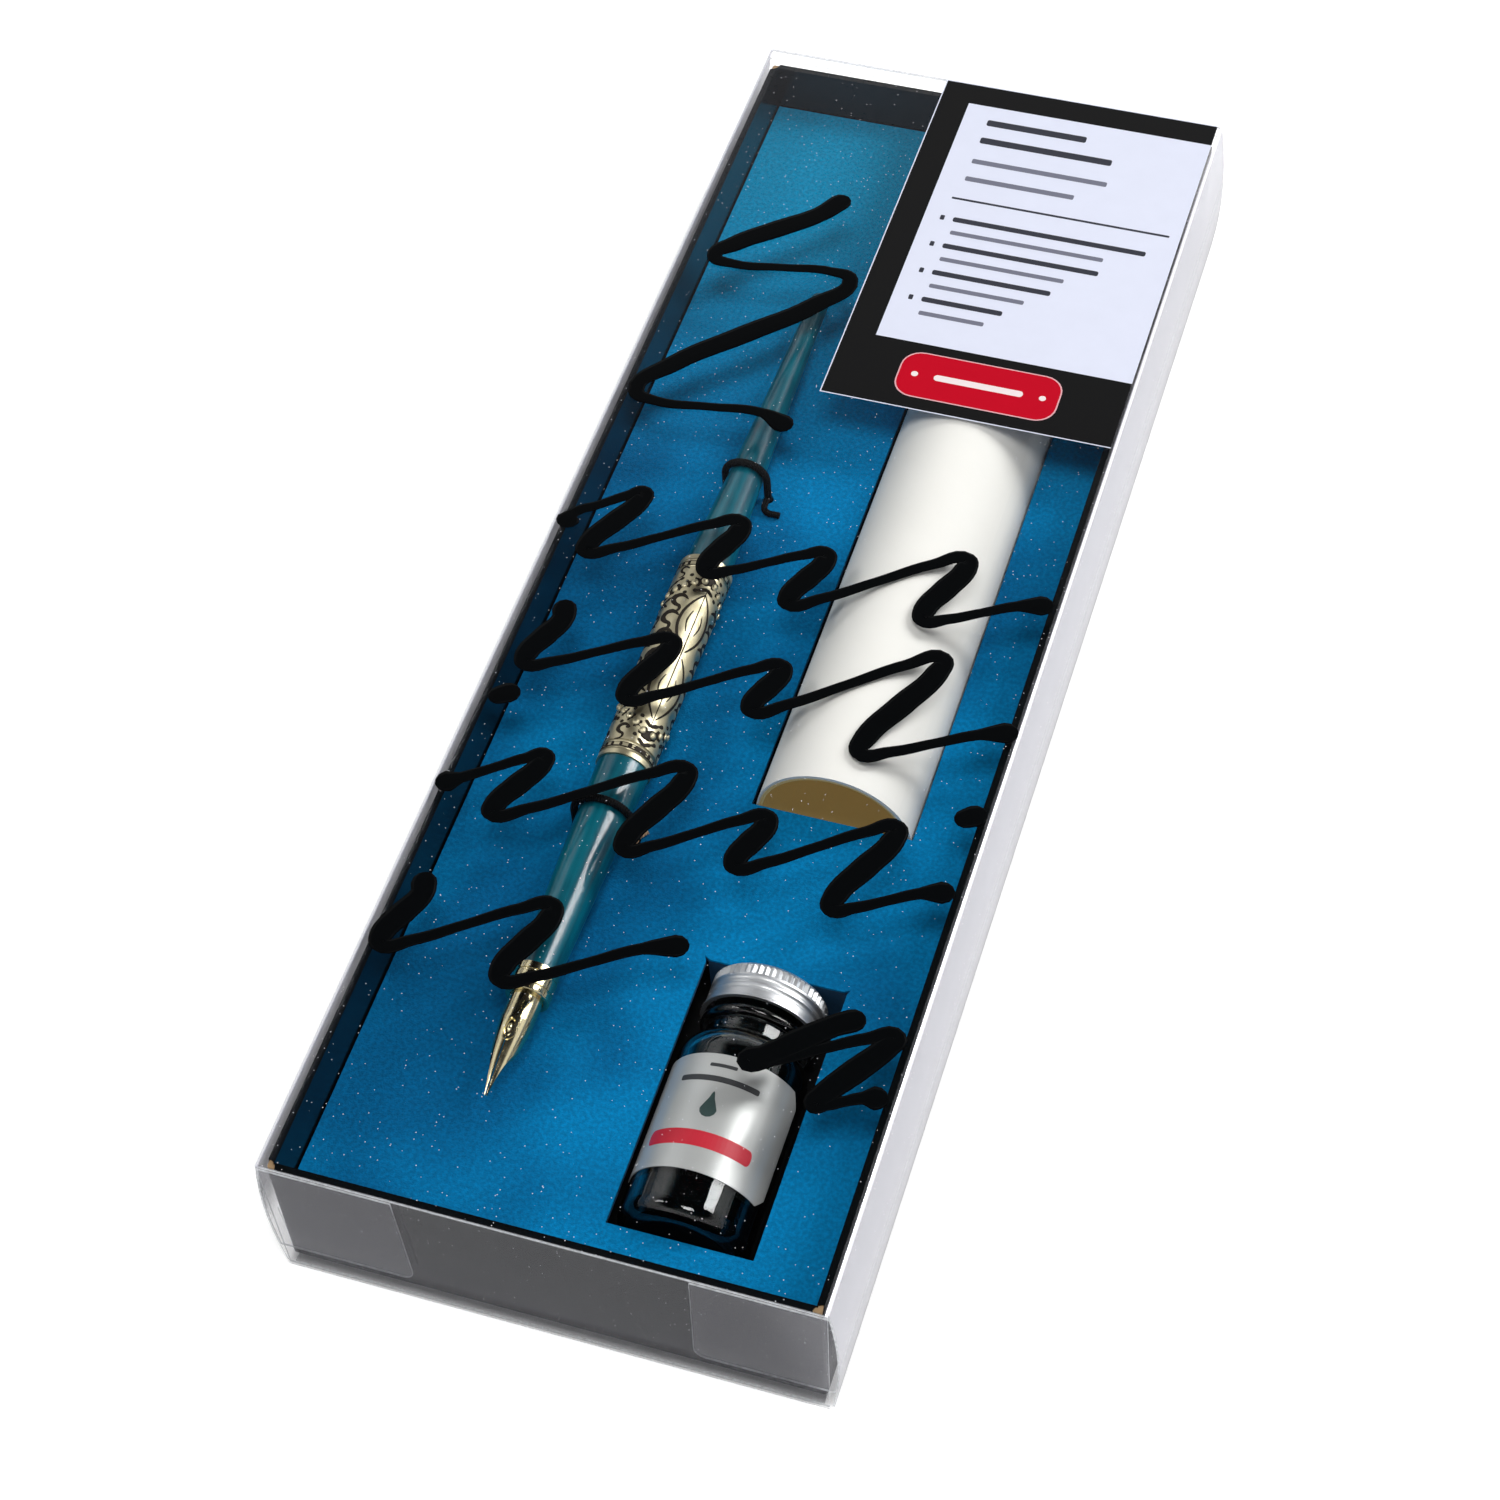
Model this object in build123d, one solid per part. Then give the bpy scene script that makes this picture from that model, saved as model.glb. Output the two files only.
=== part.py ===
from build123d import *

import os
from math import cos, pi, sin, sqrt

# A boxed dip-pen writing set: a clear tuck-end carton round a black tray, whose flocked platform
# carries the pen, a roll of paper and a bottle of ink, with an instruction booklet under the tray.
# Millimetres. Origin at the centre of the carton's underside, +Y along its length, +Z up.

# ------------------------------------------------------------------ clear folding carton
CARTON_WIDTH = 88.0
CARTON_LENGTH = 254.0
CARTON_HEIGHT = 30.0
FILM = 0.3
FOLD_RADIUS = 0.8
WALL_BULGE = 1.2          # how far each side wall swells at mid height
SEAM_HEIGHT = 12.0        # glued lap inside the left wall
SEAM_SETBACK = 3.0
LAYER_GAP = 0.1           # between films that lie on each other
CREASE_GAP = 0.03         # between two panels that share a crease
END_FLAP_TAPER = 0.5
TONGUE_LIFT = 0.35        # film floor to tongue
TONGUE_DEPTH = 9.35
TONGUE_SETBACK = 1.5
TONGUE_CORNER = 6.0
DUST_FLAP_REACH = 21.0    # from the carton's corner towards its middle
DUST_FLAP_TOP_GAP = 2.0
DUST_FLAP_BOTTOM_GAP = 5.0
DUST_FLAP_SLANT = 0.7
DUST_FLAP_CORNER = 2.0

# ------------------------------------------------------------------ sticker on the window
STICKER_WIDTH = 52.0
STICKER_LENGTH = 83.5
STICKER_THICKNESS = 0.1
STICKER_EDGE_GAP = 0.1

# ------------------------------------------------------------------ booklet under the tray
BOOKLET_SIDE_GAP = 5.0    # carton to the booklet's edges
BOOKLET_END_GAP = 22.0
BOOKLET_THICKNESS = 1.0
COVER_THICKNESS = 0.15
STAPLE_WIRE = 0.35
STAPLE_CROWN = 12.0
STAPLE_LEG = 1.2
STAPLE_SPACING = 120.0
PAGE_TRIM = 1.0

# ------------------------------------------------------------------ black tray
TRAY_SIDE_PLAY = 2.0      # how much narrower than the carton
TRAY_END_PLAY = 2.5
TRAY_RIM_GAP = 2.4        # rim to the window film
TRAY_SIDE_GAP = 0.3       # tray to the flat of the left wall
TRAY_END_GAP = 0.3        # tray to the far dust flaps
TRAY_BOARD = 1.2          # floor
TRAY_SIDE_BOARD = 0.7
WRAP = 0.2
TRAY_CORNER_RADIUS = 0.6
WORN_CORNER = 1.5

# ------------------------------------------------------------------ flocked platform
PLATFORM_DEPTH = 11.7     # window film to the flocked surface
PLATFORM_BOARD = 0.8
FLOCK = 0.4
PLATFORM_GAP = 0.3        # platform to the tray walls
CORNER_SLIT = 0.6         # open corner between two folded skirts
POCKET_SIDE_GAP = 1.05    # bottle to the pocket's sides
POCKET_END_GAP = 1.1
POCKET_CAP_GAP = 0.9        # room for the cap to rise as it is unscrewed
POCKET_SHIFT = 0.75       # the bottle has rolled against the pocket's left side
POCKET_EAR = 0.6           # die-cut notch past each corner at the cap end
POCKET_EAR_FLARE = 0.4
FLAP_INSET = 0.3
SLOT_CLEARANCE = 0.3
TIE_HOLE_CLEARANCE = 0.35

# ------------------------------------------------------------------ paper roll
ROLL_TOP_GAP = 0.4        # window film to the roll
ROLL_LENGTH = 148.0
ROLL_FROM_SIDE = 25.6     # tray's right side to the roll's axis
ROLL_FROM_END = 14.2      # tray's far end to the roll
ROLL_SHEET = 0.28
ROLL_TURN_GAP = 0.07
ROLL_TURNS = 3
ROLL_SEAM_ANGLE = 215.0

# ------------------------------------------------------------------ pen
PEN_FROM_SIDE = 25.9      # tray's left side to the pen's axis
SLEEVE_FROM_END = 86.5    # tray's near end to the sleeve
SLEEVE_LENGTH = 43.5
SLEEVE_DIAMETER = 9.4
SLEEVE_WALL = 0.7
SLEEVE_BEAD = 0.35
SLEEVE_BAND = 2.6
GRIP_LENGTH = 40.7
GRIP_REAR_DIAMETER = 8.8
GRIP_WAIST_DIAMETER = 8.0
GRIP_FRONT_DIAMETER = 6.8
TENON_LENGTH = 18.0
TENON_CLEARANCE = 0.05
TAIL_LENGTH = 68.0
TAIL_FRONT_DIAMETER = 8.4
TAIL_MIDDLE_DIAMETER = 5.2
TAIL_END_DIAMETER = 3.6
TAIL_END_FLAT = 0.4
FERRULE_COLLAR = 5.0      # length that shows in front of the wood
FERRULE_DIAMETER = 7.2
FERRULE_STEM_LENGTH = 10.5
FERRULE_STEM_DIAMETER = 6.0
FERRULE_BORE = 5.5
FERRULE_GROOVE = 0.25
NIB_LENGTH = 27.0
NIB_SHEET = 0.28
NIB_SEAT = 9.0            # length held in the ferrule
NIB_SHANK = 4.6           # round-backed length in front of the ferrule
NIB_SHOULDER = 4.4        # shank's end to the widest point of the tines
NIB_SHOULDER_WIDTH = 4.7
NIB_TIP_DROP = 2.1        # how far the point lies below the back of the shank
NIB_TIP_WIDTH = 0.5
NIB_HOLE_WIDTH = 1.5
NIB_HOLE_LENGTH = 3.2
NIB_BOSS = 0.25
NIB_BOSS_RIM = 0.5
NIB_SLIT = 0.14
NIB_FIT = 0.06
CLAW_WALL = 0.35
CLAW_SLOT = 1.4

# ------------------------------------------------------------------ ties
TIE_DIAMETER = 1.3
TIE_PEN_GAP = 0.1
UPPER_TIE_FROM_SLEEVE = 22.5
LOWER_TIE_FROM_SLEEVE = 9.6
TIE_KNOT_LENGTH = 3.0
TIE_TAIL_DIAMETER = 1.1
TIE_TAIL_REACH = 3.2
TIE_TAIL_LENGTH = 3.6
TIE_BEND = 1.6
TIE_STUB_LENGTH = 4.8
TIE_STUB_SLANT = 39.0      # degrees from the pen's line

# ------------------------------------------------------------------ ink bottle
BOTTLE_FROM_SIDE = 26.1   # tray's right side to the bottle's axis
BOTTLE_FROM_END = 11.0    # tray's near end to the bottle
BOTTLE_DIAMETER = 21.0
BOTTLE_BODY_LENGTH = 30.5
BOTTLE_HEEL = 2.6
BOTTLE_PUNT = 0.8
BOTTLE_SHOULDER = 4.5
BOTTLE_WALL = 1.3
NECK_DIAMETER = 15.8
NECK_LENGTH = 10.2
NECK_BEAD_DIAMETER = 18.2
NECK_BEAD_LENGTH = 1.6
NECK_BEAD_RISE = 2.3       # shoulder to the bead
BORE_DIAMETER = 11.0
INK_GAP = 0.05
BUBBLE_HEIGHT = 2.4
CAP_DIAMETER = 18.9
CAP_LENGTH = 6.6
CAP_WALL = 0.45
CAP_KNURL_LENGTH = 2.5
CAP_KNURLS = 56
CAP_KNURL_DEPTH = 0.3
CAP_GROOVE = 0.3
CAP_FLARE = 0.25
LINER_THICKNESS = 0.8
BOTTLE_LABEL_LENGTH = 20.4
BOTTLE_LABEL_START = 7.8  # from the bottle's base
BOTTLE_LABEL_SPAN = 168.0
BOTTLE_LABEL_TURN = -8.0
BOTTLE_LABEL_CUT = 2.0
BOTTLE_LABEL_THICKNESS = 0.12

# ------------------------------------------------------------------ derived places
HALF_WIDTH = CARTON_WIDTH / 2
HALF_LENGTH = CARTON_LENGTH / 2
DUST_FACE_Y = HALF_LENGTH - FILM - LAYER_GAP
TONGUE_Z = FILM + TONGUE_LIFT
BOOKLET_WIDTH = CARTON_WIDTH - 2 * BOOKLET_SIDE_GAP
BOOKLET_LENGTH = CARTON_LENGTH - 2 * BOOKLET_END_GAP
TRAY_WIDTH = CARTON_WIDTH - TRAY_SIDE_PLAY
TRAY_LENGTH = CARTON_LENGTH - TRAY_END_PLAY
TRAY_BASE_Z = FILM + BOOKLET_THICKNESS
TRAY_FLOOR_Z = TRAY_BASE_Z + WRAP + TRAY_BOARD
WINDOW_Z = CARTON_HEIGHT - FILM
TRAY_RIM_Z = WINDOW_Z - TRAY_RIM_GAP
TRAY_LEFT_X = -HALF_WIDTH + FILM + TRAY_SIDE_GAP
TRAY_RIGHT_X = TRAY_LEFT_X + TRAY_WIDTH
TRAY_FAR_Y = DUST_FACE_Y - FILM - TRAY_END_GAP
TRAY_NEAR_Y = TRAY_FAR_Y - TRAY_LENGTH
TRAY_X = (TRAY_LEFT_X + TRAY_RIGHT_X) / 2
TRAY_Y = (TRAY_NEAR_Y + TRAY_FAR_Y) / 2
TRAY_WALL = TRAY_SIDE_BOARD + 2 * WRAP
PLATFORM_Z = WINDOW_Z - PLATFORM_DEPTH
PLATFORM_BOARD_TOP_Z = PLATFORM_Z - FLOCK
PLATFORM_WIDTH = TRAY_WIDTH - 2 * TRAY_WALL - 2 * PLATFORM_GAP
PLATFORM_LENGTH = TRAY_LENGTH - 2 * TRAY_WALL - 2 * PLATFORM_GAP
ROLL_DIAMETER = WINDOW_Z - ROLL_TOP_GAP - TRAY_FLOOR_Z
ROLL_X = TRAY_RIGHT_X - ROLL_FROM_SIDE
ROLL_Z = TRAY_FLOOR_Z + ROLL_DIAMETER / 2
ROLL_FAR_Y = TRAY_FAR_Y - ROLL_FROM_END
ROLL_NEAR_Y = ROLL_FAR_Y - ROLL_LENGTH
PEN_X = TRAY_LEFT_X + PEN_FROM_SIDE
PEN_Z = PLATFORM_Z + SLEEVE_DIAMETER / 2
SLEEVE_NEAR_Y = TRAY_NEAR_Y + SLEEVE_FROM_END
SLEEVE_FAR_Y = SLEEVE_NEAR_Y + SLEEVE_LENGTH
UPPER_TIE_Y = SLEEVE_FAR_Y + UPPER_TIE_FROM_SLEEVE
LOWER_TIE_Y = SLEEVE_NEAR_Y - LOWER_TIE_FROM_SLEEVE
SLEEVE_BORE = SLEEVE_DIAMETER - 2 * SLEEVE_WALL
GRIP_FRONT_Y = SLEEVE_NEAR_Y - GRIP_LENGTH
TAIL_END_Y = SLEEVE_FAR_Y + TAIL_LENGTH
FERRULE_FRONT_Y = GRIP_FRONT_Y - FERRULE_COLLAR
FERRULE_BACK_Y = GRIP_FRONT_Y + FERRULE_STEM_LENGTH
NIB_BACK_Y = FERRULE_FRONT_Y + NIB_SEAT
NIB_SHANK_Y = FERRULE_FRONT_Y - NIB_SHANK
NIB_TIP_Y = NIB_BACK_Y - NIB_LENGTH
NIB_RADIUS = FERRULE_BORE / 2 - NIB_FIT
BOTTLE_RADIUS = BOTTLE_DIAMETER / 2
BOTTLE_X = TRAY_RIGHT_X - BOTTLE_FROM_SIDE
BOTTLE_NEAR_Y = TRAY_NEAR_Y + BOTTLE_FROM_END
BOTTLE_Z = TRAY_FLOOR_Z + BOTTLE_RADIUS
BOTTLE_MOUTH_Y = BOTTLE_NEAR_Y + BOTTLE_BODY_LENGTH + BOTTLE_SHOULDER + NECK_LENGTH
CAP_FAR_Y = BOTTLE_MOUTH_Y + LINER_THICKNESS + CAP_WALL
CAP_NEAR_Y = CAP_FAR_Y - CAP_LENGTH
POCKET_X = BOTTLE_X + POCKET_SHIFT
POCKET_WIDTH = BOTTLE_DIAMETER + 2 * POCKET_SIDE_GAP
POCKET_NEAR_Y = BOTTLE_NEAR_Y - POCKET_END_GAP
POCKET_FAR_Y = CAP_FAR_Y + POCKET_CAP_GAP
SLOT_NEAR_Y = ROLL_NEAR_Y - SLOT_CLEARANCE
SLOT_FAR_Y = ROLL_FAR_Y + SLOT_CLEARANCE
SLOT_WIDTH = ROLL_DIAMETER + 2 * SLOT_CLEARANCE


# ------------------------------------------------------------------ helpers
def block(x_span, y_span, z_span):
    """A box between two values along each axis."""
    size = [high - low for low, high in (x_span, y_span, z_span)]
    middle = [(low + high) / 2 for low, high in (x_span, y_span, z_span)]
    return Pos(*middle) * Box(*size)


def rod(x, z, y_span, radius):
    """A round bar along Y."""
    low, high = y_span
    return Pos(x, (low + high) / 2, z) * Rot(90, 0, 0) * Cylinder(radius, high - low)


def turned(x, z, profile):
    """A turned piece whose axis runs along Y: the profile is drawn as radius and Y."""
    return Pos(x, 0, z) * revolve(profile, axis=Axis.Y)


def plate_xz(sketch, y_span):
    """A sheet that stands in the X-Z plane between two values of Y."""
    low, high = y_span
    return Pos(0, high, 0) * extrude(Plane.XZ * sketch, amount=high - low)


# ------------------------------------------------------------------ clear carton
def carton_outline(inset):
    """The carton's cross-section, its side walls swelling outwards, drawn as X and Z."""
    low_left = (-HALF_WIDTH, 0)
    low_right = (HALF_WIDTH, 0)
    high_right = (HALF_WIDTH, CARTON_HEIGHT)
    high_left = (-HALF_WIDTH, CARTON_HEIGHT)
    swell = HALF_WIDTH + WALL_BULGE
    outline = Line(low_left, low_right)
    outline += ThreePointArc(low_right, (swell, CARTON_HEIGHT / 2), high_right)
    outline += Line(high_right, high_left)
    outline += ThreePointArc(high_left, (-swell, CARTON_HEIGHT / 2), low_left)
    face = make_face(outline)
    face = fillet(face.vertices(), FOLD_RADIUS)
    return offset(face, -inset) if inset else face


def clear_sleeve():
    """Top, bottom and side panels folded from one film, with the glued lap inside the left wall."""
    inside = carton_outline(FILM)
    tube = plate_xz(carton_outline(0) - inside, (-HALF_LENGTH, HALF_LENGTH))
    lap_zone = Pos(-HALF_WIDTH, SEAM_HEIGHT / 2) * Rectangle(4 * FILM + 0.01, SEAM_HEIGHT)
    lap_zone += Pos(-HALF_WIDTH - WALL_BULGE, SEAM_HEIGHT / 2) * Rectangle(4 * FILM, SEAM_HEIGHT)
    lap_section = (inside - carton_outline(2 * FILM)) & lap_zone
    lap_end = HALF_LENGTH - SEAM_SETBACK
    tube += plate_xz(lap_section, (-lap_end, lap_end))
    wide = (-CARTON_WIDTH, CARTON_WIDTH)
    between = (FILM, CARTON_HEIGHT - FILM)
    for span in ((-HALF_LENGTH, -DUST_FACE_Y), (DUST_FACE_Y, HALF_LENGTH)):
        tube -= block(wide, span, between)
    return tube


def near_end_flap():
    """End panel that hangs from the top panel's edge, a little narrower at its foot."""
    top_half = HALF_WIDTH - LAYER_GAP
    foot_half = top_half - END_FLAP_TAPER
    top_z = CARTON_HEIGHT - FILM - CREASE_GAP
    corners = [(-foot_half, TONGUE_Z), (foot_half, TONGUE_Z), (top_half, top_z), (-top_half, top_z)]
    panel = make_face(Polyline(*corners, close=True))
    return plate_xz(panel, (-HALF_LENGTH, -HALF_LENGTH + FILM))


def near_tuck_tongue():
    """Tongue that folds inwards from the foot of the end panel and lies on the bottom panel."""
    half = HALF_WIDTH - TONGUE_SETBACK
    fold_y = -HALF_LENGTH + FILM + CREASE_GAP
    tip_y = fold_y + TONGUE_DEPTH
    corners = [(-half, fold_y), (half, fold_y), (half, tip_y), (-half, tip_y)]
    panel = make_face(Polyline(*corners, close=True))
    tip_corners = panel.vertices().sort_by(Axis.Y)[-2:]
    panel = fillet(tip_corners, TONGUE_CORNER)
    return Pos(0, 0, TONGUE_Z) * extrude(panel, amount=FILM)


def near_dust_flap_right():
    """Short flap from the right wall, behind the end panel, its fold following the wall's swell."""
    inner_top = HALF_WIDTH - DUST_FLAP_REACH
    inner_foot = inner_top - DUST_FLAP_SLANT
    outside = CARTON_WIDTH
    low = DUST_FLAP_BOTTOM_GAP
    high = CARTON_HEIGHT - DUST_FLAP_TOP_GAP
    corners = [(inner_foot, low), (outside, low), (outside, high), (inner_top, high)]
    zone = make_face(Polyline(*corners, close=True))
    inner_corner = zone.vertices().sort_by(Axis.X)[0]
    zone = fillet(inner_corner, DUST_FLAP_CORNER)
    panel = carton_outline(FILM + CREASE_GAP) & zone
    return plate_xz(panel, (-DUST_FACE_Y, -DUST_FACE_Y + FILM))


def window_label():
    """Sticker on the top panel's right far corner."""
    right = HALF_WIDTH - FOLD_RADIUS - STICKER_EDGE_GAP
    far = HALF_LENGTH - STICKER_EDGE_GAP
    z_span = (CARTON_HEIGHT, CARTON_HEIGHT + STICKER_THICKNESS)
    return block((right - STICKER_WIDTH, right), (far - STICKER_LENGTH, far), z_span)


# ------------------------------------------------------------------ booklet
def booklet_section(inset, right):
    """Folded sheet seen from its end: round at the spine, square at the open edge."""
    radius = BOOKLET_THICKNESS / 2 - inset
    spine_x = -BOOKLET_WIDTH / 2 + BOOKLET_THICKNESS / 2
    middle_z = FILM + BOOKLET_THICKNESS / 2
    body = Pos((spine_x + right) / 2, middle_z) * Rectangle(right - spine_x, 2 * radius)
    return body + Pos(spine_x, middle_z) * Circle(radius)


def booklet_staples():
    """Two wire staples through the spine."""
    spine = -BOOKLET_WIDTH / 2
    middle_z = FILM + BOOKLET_THICKNESS / 2
    z_span = (middle_z - STAPLE_WIRE / 2, middle_z + STAPLE_WIRE / 2)
    wires = Part()
    for centre in (-STAPLE_SPACING / 2, STAPLE_SPACING / 2):
        ends = (centre - STAPLE_CROWN / 2, centre + STAPLE_CROWN / 2)
        wires += block((spine - STAPLE_WIRE, spine), ends, z_span)
        for start in (ends[0], ends[1] - STAPLE_WIRE):
            wires += block((spine, spine + STAPLE_LEG), (start, start + STAPLE_WIRE), z_span)
    return wires


def booklet_cover():
    """One leaf of card folded round the pages."""
    right = BOOKLET_WIDTH / 2
    half = BOOKLET_LENGTH / 2
    section = booklet_section(0, right) - booklet_section(COVER_THICKNESS, right + 1)
    return plate_xz(section, (-half, half)) - booklet_staples()


def booklet_pages():
    """The block of folded pages, trimmed short of the cover."""
    half = BOOKLET_LENGTH / 2 - PAGE_TRIM
    section = booklet_section(COVER_THICKNESS, BOOKLET_WIDTH / 2 - PAGE_TRIM)
    return plate_xz(section, (-half, half)) - booklet_staples()


# ------------------------------------------------------------------ tray
def tray_block(inset, z_span, corner):
    """A box in the tray's outline, drawn in by an inset, with rounded upright edges."""
    low, high = z_span
    width = TRAY_WIDTH - 2 * inset
    length = TRAY_LENGTH - 2 * inset
    outline = RectangleRounded(width, length, corner) if corner else Rectangle(width, length)
    return Pos(TRAY_X, TRAY_Y, low) * extrude(outline, amount=high - low)


def tray_board():
    """Board blank of the tray: floor and four walls."""
    outside = tray_block(WRAP, (TRAY_BASE_Z + WRAP, TRAY_RIM_Z - WRAP), TRAY_CORNER_RADIUS - WRAP)
    return outside - tray_block(WRAP + TRAY_SIDE_BOARD, (TRAY_FLOOR_Z, TRAY_RIM_Z), 0)


def tray_wrap():
    """Black paper glued round the board, over the rim and down the inside, worn at the corners."""
    skin = tray_block(0, (TRAY_BASE_Z, TRAY_RIM_Z), TRAY_CORNER_RADIUS)
    skin -= tray_block(TRAY_WALL, (TRAY_FLOOR_Z, TRAY_RIM_Z + 1), 0)
    skin -= tray_board()
    skin -= tray_block(WRAP + TRAY_BOARD, (TRAY_BASE_Z + WRAP, TRAY_FLOOR_Z), 0)
    for x in (TRAY_LEFT_X, TRAY_RIGHT_X):
        for y in (TRAY_NEAR_Y, TRAY_FAR_Y):
            skin -= Pos(x, y, TRAY_RIM_Z) * Sphere(WORN_CORNER)
    return skin


# ------------------------------------------------------------------ platform
def platform_cutouts():
    """Outlines of what is cut out of the platform's top: pocket, slot and tie holes."""
    left = POCKET_X - POCKET_WIDTH / 2
    right = POCKET_X + POCKET_WIDTH / 2
    pocket_middle = (POCKET_NEAR_Y + POCKET_FAR_Y) / 2
    cuts = Pos(POCKET_X, pocket_middle) * Rectangle(POCKET_WIDTH, POCKET_FAR_Y - POCKET_NEAR_Y)
    for corner, inwards in ((left, 1), (right, -1)):
        ear = Polyline(
            (corner, POCKET_FAR_Y - POCKET_EAR / 2),
            (corner - inwards * POCKET_EAR_FLARE, POCKET_FAR_Y + POCKET_EAR),
            (corner + inwards * POCKET_EAR, POCKET_FAR_Y),
            (corner + inwards * POCKET_EAR, POCKET_FAR_Y - POCKET_EAR / 2),
            close=True,
        )
        cuts += make_face(ear)
    slot_middle = (SLOT_NEAR_Y + SLOT_FAR_Y) / 2
    cuts += Pos(ROLL_X, slot_middle) * Rectangle(SLOT_WIDTH, SLOT_FAR_Y - SLOT_NEAR_Y)
    for y in (UPPER_TIE_Y, LOWER_TIE_Y):
        for side in (-1, 1):
            x = PEN_X + side * tie_radius(y)
            cuts += Pos(x, y) * Circle(TIE_DIAMETER / 2 + TIE_HOLE_CLEARANCE)
    return cuts


def fold_down_flap(x, width, y_span):
    """Flap of the die-cut opening, bent down to the tray's floor."""
    half = width / 2 - FLAP_INSET
    return block((x - half, x + half), y_span, (TRAY_FLOOR_Z, PLATFORM_BOARD_TOP_Z))


def platform_board():
    """Card platform on its folded skirts, with the flaps of its two openings bent down."""
    underside = PLATFORM_BOARD_TOP_Z - PLATFORM_BOARD
    place = Pos(TRAY_X, TRAY_Y, TRAY_FLOOR_Z)
    height = PLATFORM_BOARD_TOP_Z - TRAY_FLOOR_Z
    lift = (Align.CENTER, Align.CENTER, Align.MIN)
    hollow_width = PLATFORM_WIDTH - 2 * PLATFORM_BOARD
    hollow_length = PLATFORM_LENGTH - 2 * PLATFORM_BOARD
    sheet = place * Box(PLATFORM_WIDTH, PLATFORM_LENGTH, height, align=lift)
    sheet -= place * Box(hollow_width, hollow_length, height - PLATFORM_BOARD, align=lift)
    for x in (TRAY_X - PLATFORM_WIDTH / 2, TRAY_X + PLATFORM_WIDTH / 2):
        for y in (TRAY_Y - PLATFORM_LENGTH / 2, TRAY_Y + PLATFORM_LENGTH / 2):
            side = 2 * PLATFORM_BOARD + CORNER_SLIT
            sheet -= block((x - side / 2, x + side / 2), (y - side / 2, y + side / 2), (0, underside))
    openings = (
        (POCKET_X, POCKET_WIDTH, POCKET_NEAR_Y, POCKET_FAR_Y),
        (ROLL_X, SLOT_WIDTH, SLOT_NEAR_Y, SLOT_FAR_Y),
    )
    for x, width, near, far in openings:
        sheet += fold_down_flap(x, width, (near - PLATFORM_BOARD, near))
        sheet += fold_down_flap(x, width, (far, far + PLATFORM_BOARD))
    cutter = extrude(platform_cutouts(), amount=PLATFORM_BOARD + 1)
    return sheet - Pos(0, 0, underside) * cutter


def platform_flocking():
    """Velvet-like flock on the platform's top."""
    sheet = Pos(TRAY_X, TRAY_Y) * Rectangle(PLATFORM_WIDTH, PLATFORM_LENGTH)
    return Pos(0, 0, PLATFORM_BOARD_TOP_Z) * extrude(sheet - platform_cutouts(), amount=FLOCK)


# ------------------------------------------------------------------ paper roll
def paper_roll():
    """Sheets rolled together: a spiral of half-turns, each closing in by half of the pitch."""
    step = (ROLL_SHEET + ROLL_TURN_GAP) / 2
    outer = ROLL_DIAMETER / 2
    outline = Curve()
    for half_turn in range(2 * ROLL_TURNS):
        side = 1 if half_turn % 2 == 0 else -1
        centre = 0 if side == 1 else -step
        radius = outer - half_turn * step
        for r in (radius, radius - ROLL_SHEET):
            outline += ThreePointArc((centre + side * r, 0), (centre, side * r), (centre - side * r, 0))
    last = outer - 2 * ROLL_TURNS * step
    outline += Line((outer, 0), (outer - ROLL_SHEET, 0))
    outline += Line((last, 0), (last - ROLL_SHEET, 0))
    section = Rot(0, 0, ROLL_SEAM_ANGLE) * make_face(outline)
    sheets = plate_xz(section, (ROLL_NEAR_Y, ROLL_FAR_Y))
    return Pos(ROLL_X, 0, ROLL_Z) * sheets


# ------------------------------------------------------------------ pen
def through_three(start, middle, end, share):
    """Value at a share of the way along a curve through three evenly spaced values."""
    near = start * (1 - share) * (1 - 2 * share)
    far = end * share * (2 * share - 1)
    return near + 4 * middle * share * (1 - share) + far


def pen_radius(y):
    """Radius of the wood at a place along the pen."""
    if y > SLEEVE_FAR_Y:
        share = (y - SLEEVE_FAR_Y) / TAIL_LENGTH
        return through_three(TAIL_FRONT_DIAMETER, TAIL_MIDDLE_DIAMETER, TAIL_END_DIAMETER, share) / 2
    share = (SLEEVE_NEAR_Y - y) / GRIP_LENGTH
    return through_three(GRIP_REAR_DIAMETER, GRIP_WAIST_DIAMETER, GRIP_FRONT_DIAMETER, share) / 2


def wood_edge(start, end):
    """Smooth side of the wood between two places along the pen."""
    stations = [start + (end - start) * step / 4 for step in range(5)]
    return Spline(*[(pen_radius(y), y) for y in stations])


def pen_handle_front():
    """Grip: lacquered wood with a tenon in the brass sleeve and a bore for the ferrule's stem."""
    tenon = SLEEVE_BORE / 2 - TENON_CLEARANCE
    tenon_end = SLEEVE_NEAR_Y + TENON_LENGTH
    back = SLEEVE_NEAR_Y - TENON_CLEARANCE
    outline = wood_edge(GRIP_FRONT_Y, back)
    outline += Polyline(
        (pen_radius(back), back), (tenon, back), (tenon, tenon_end), (0, tenon_end),
        (0, GRIP_FRONT_Y), (pen_radius(GRIP_FRONT_Y), GRIP_FRONT_Y),
    )
    wood = turned(PEN_X, PEN_Z, make_face(outline))
    bore_radius = FERRULE_STEM_DIAMETER / 2 + TENON_CLEARANCE
    bore_end = FERRULE_BACK_Y + TENON_CLEARANCE
    return wood - rod(PEN_X, PEN_Z, (GRIP_FRONT_Y - 1, bore_end), bore_radius)


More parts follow.
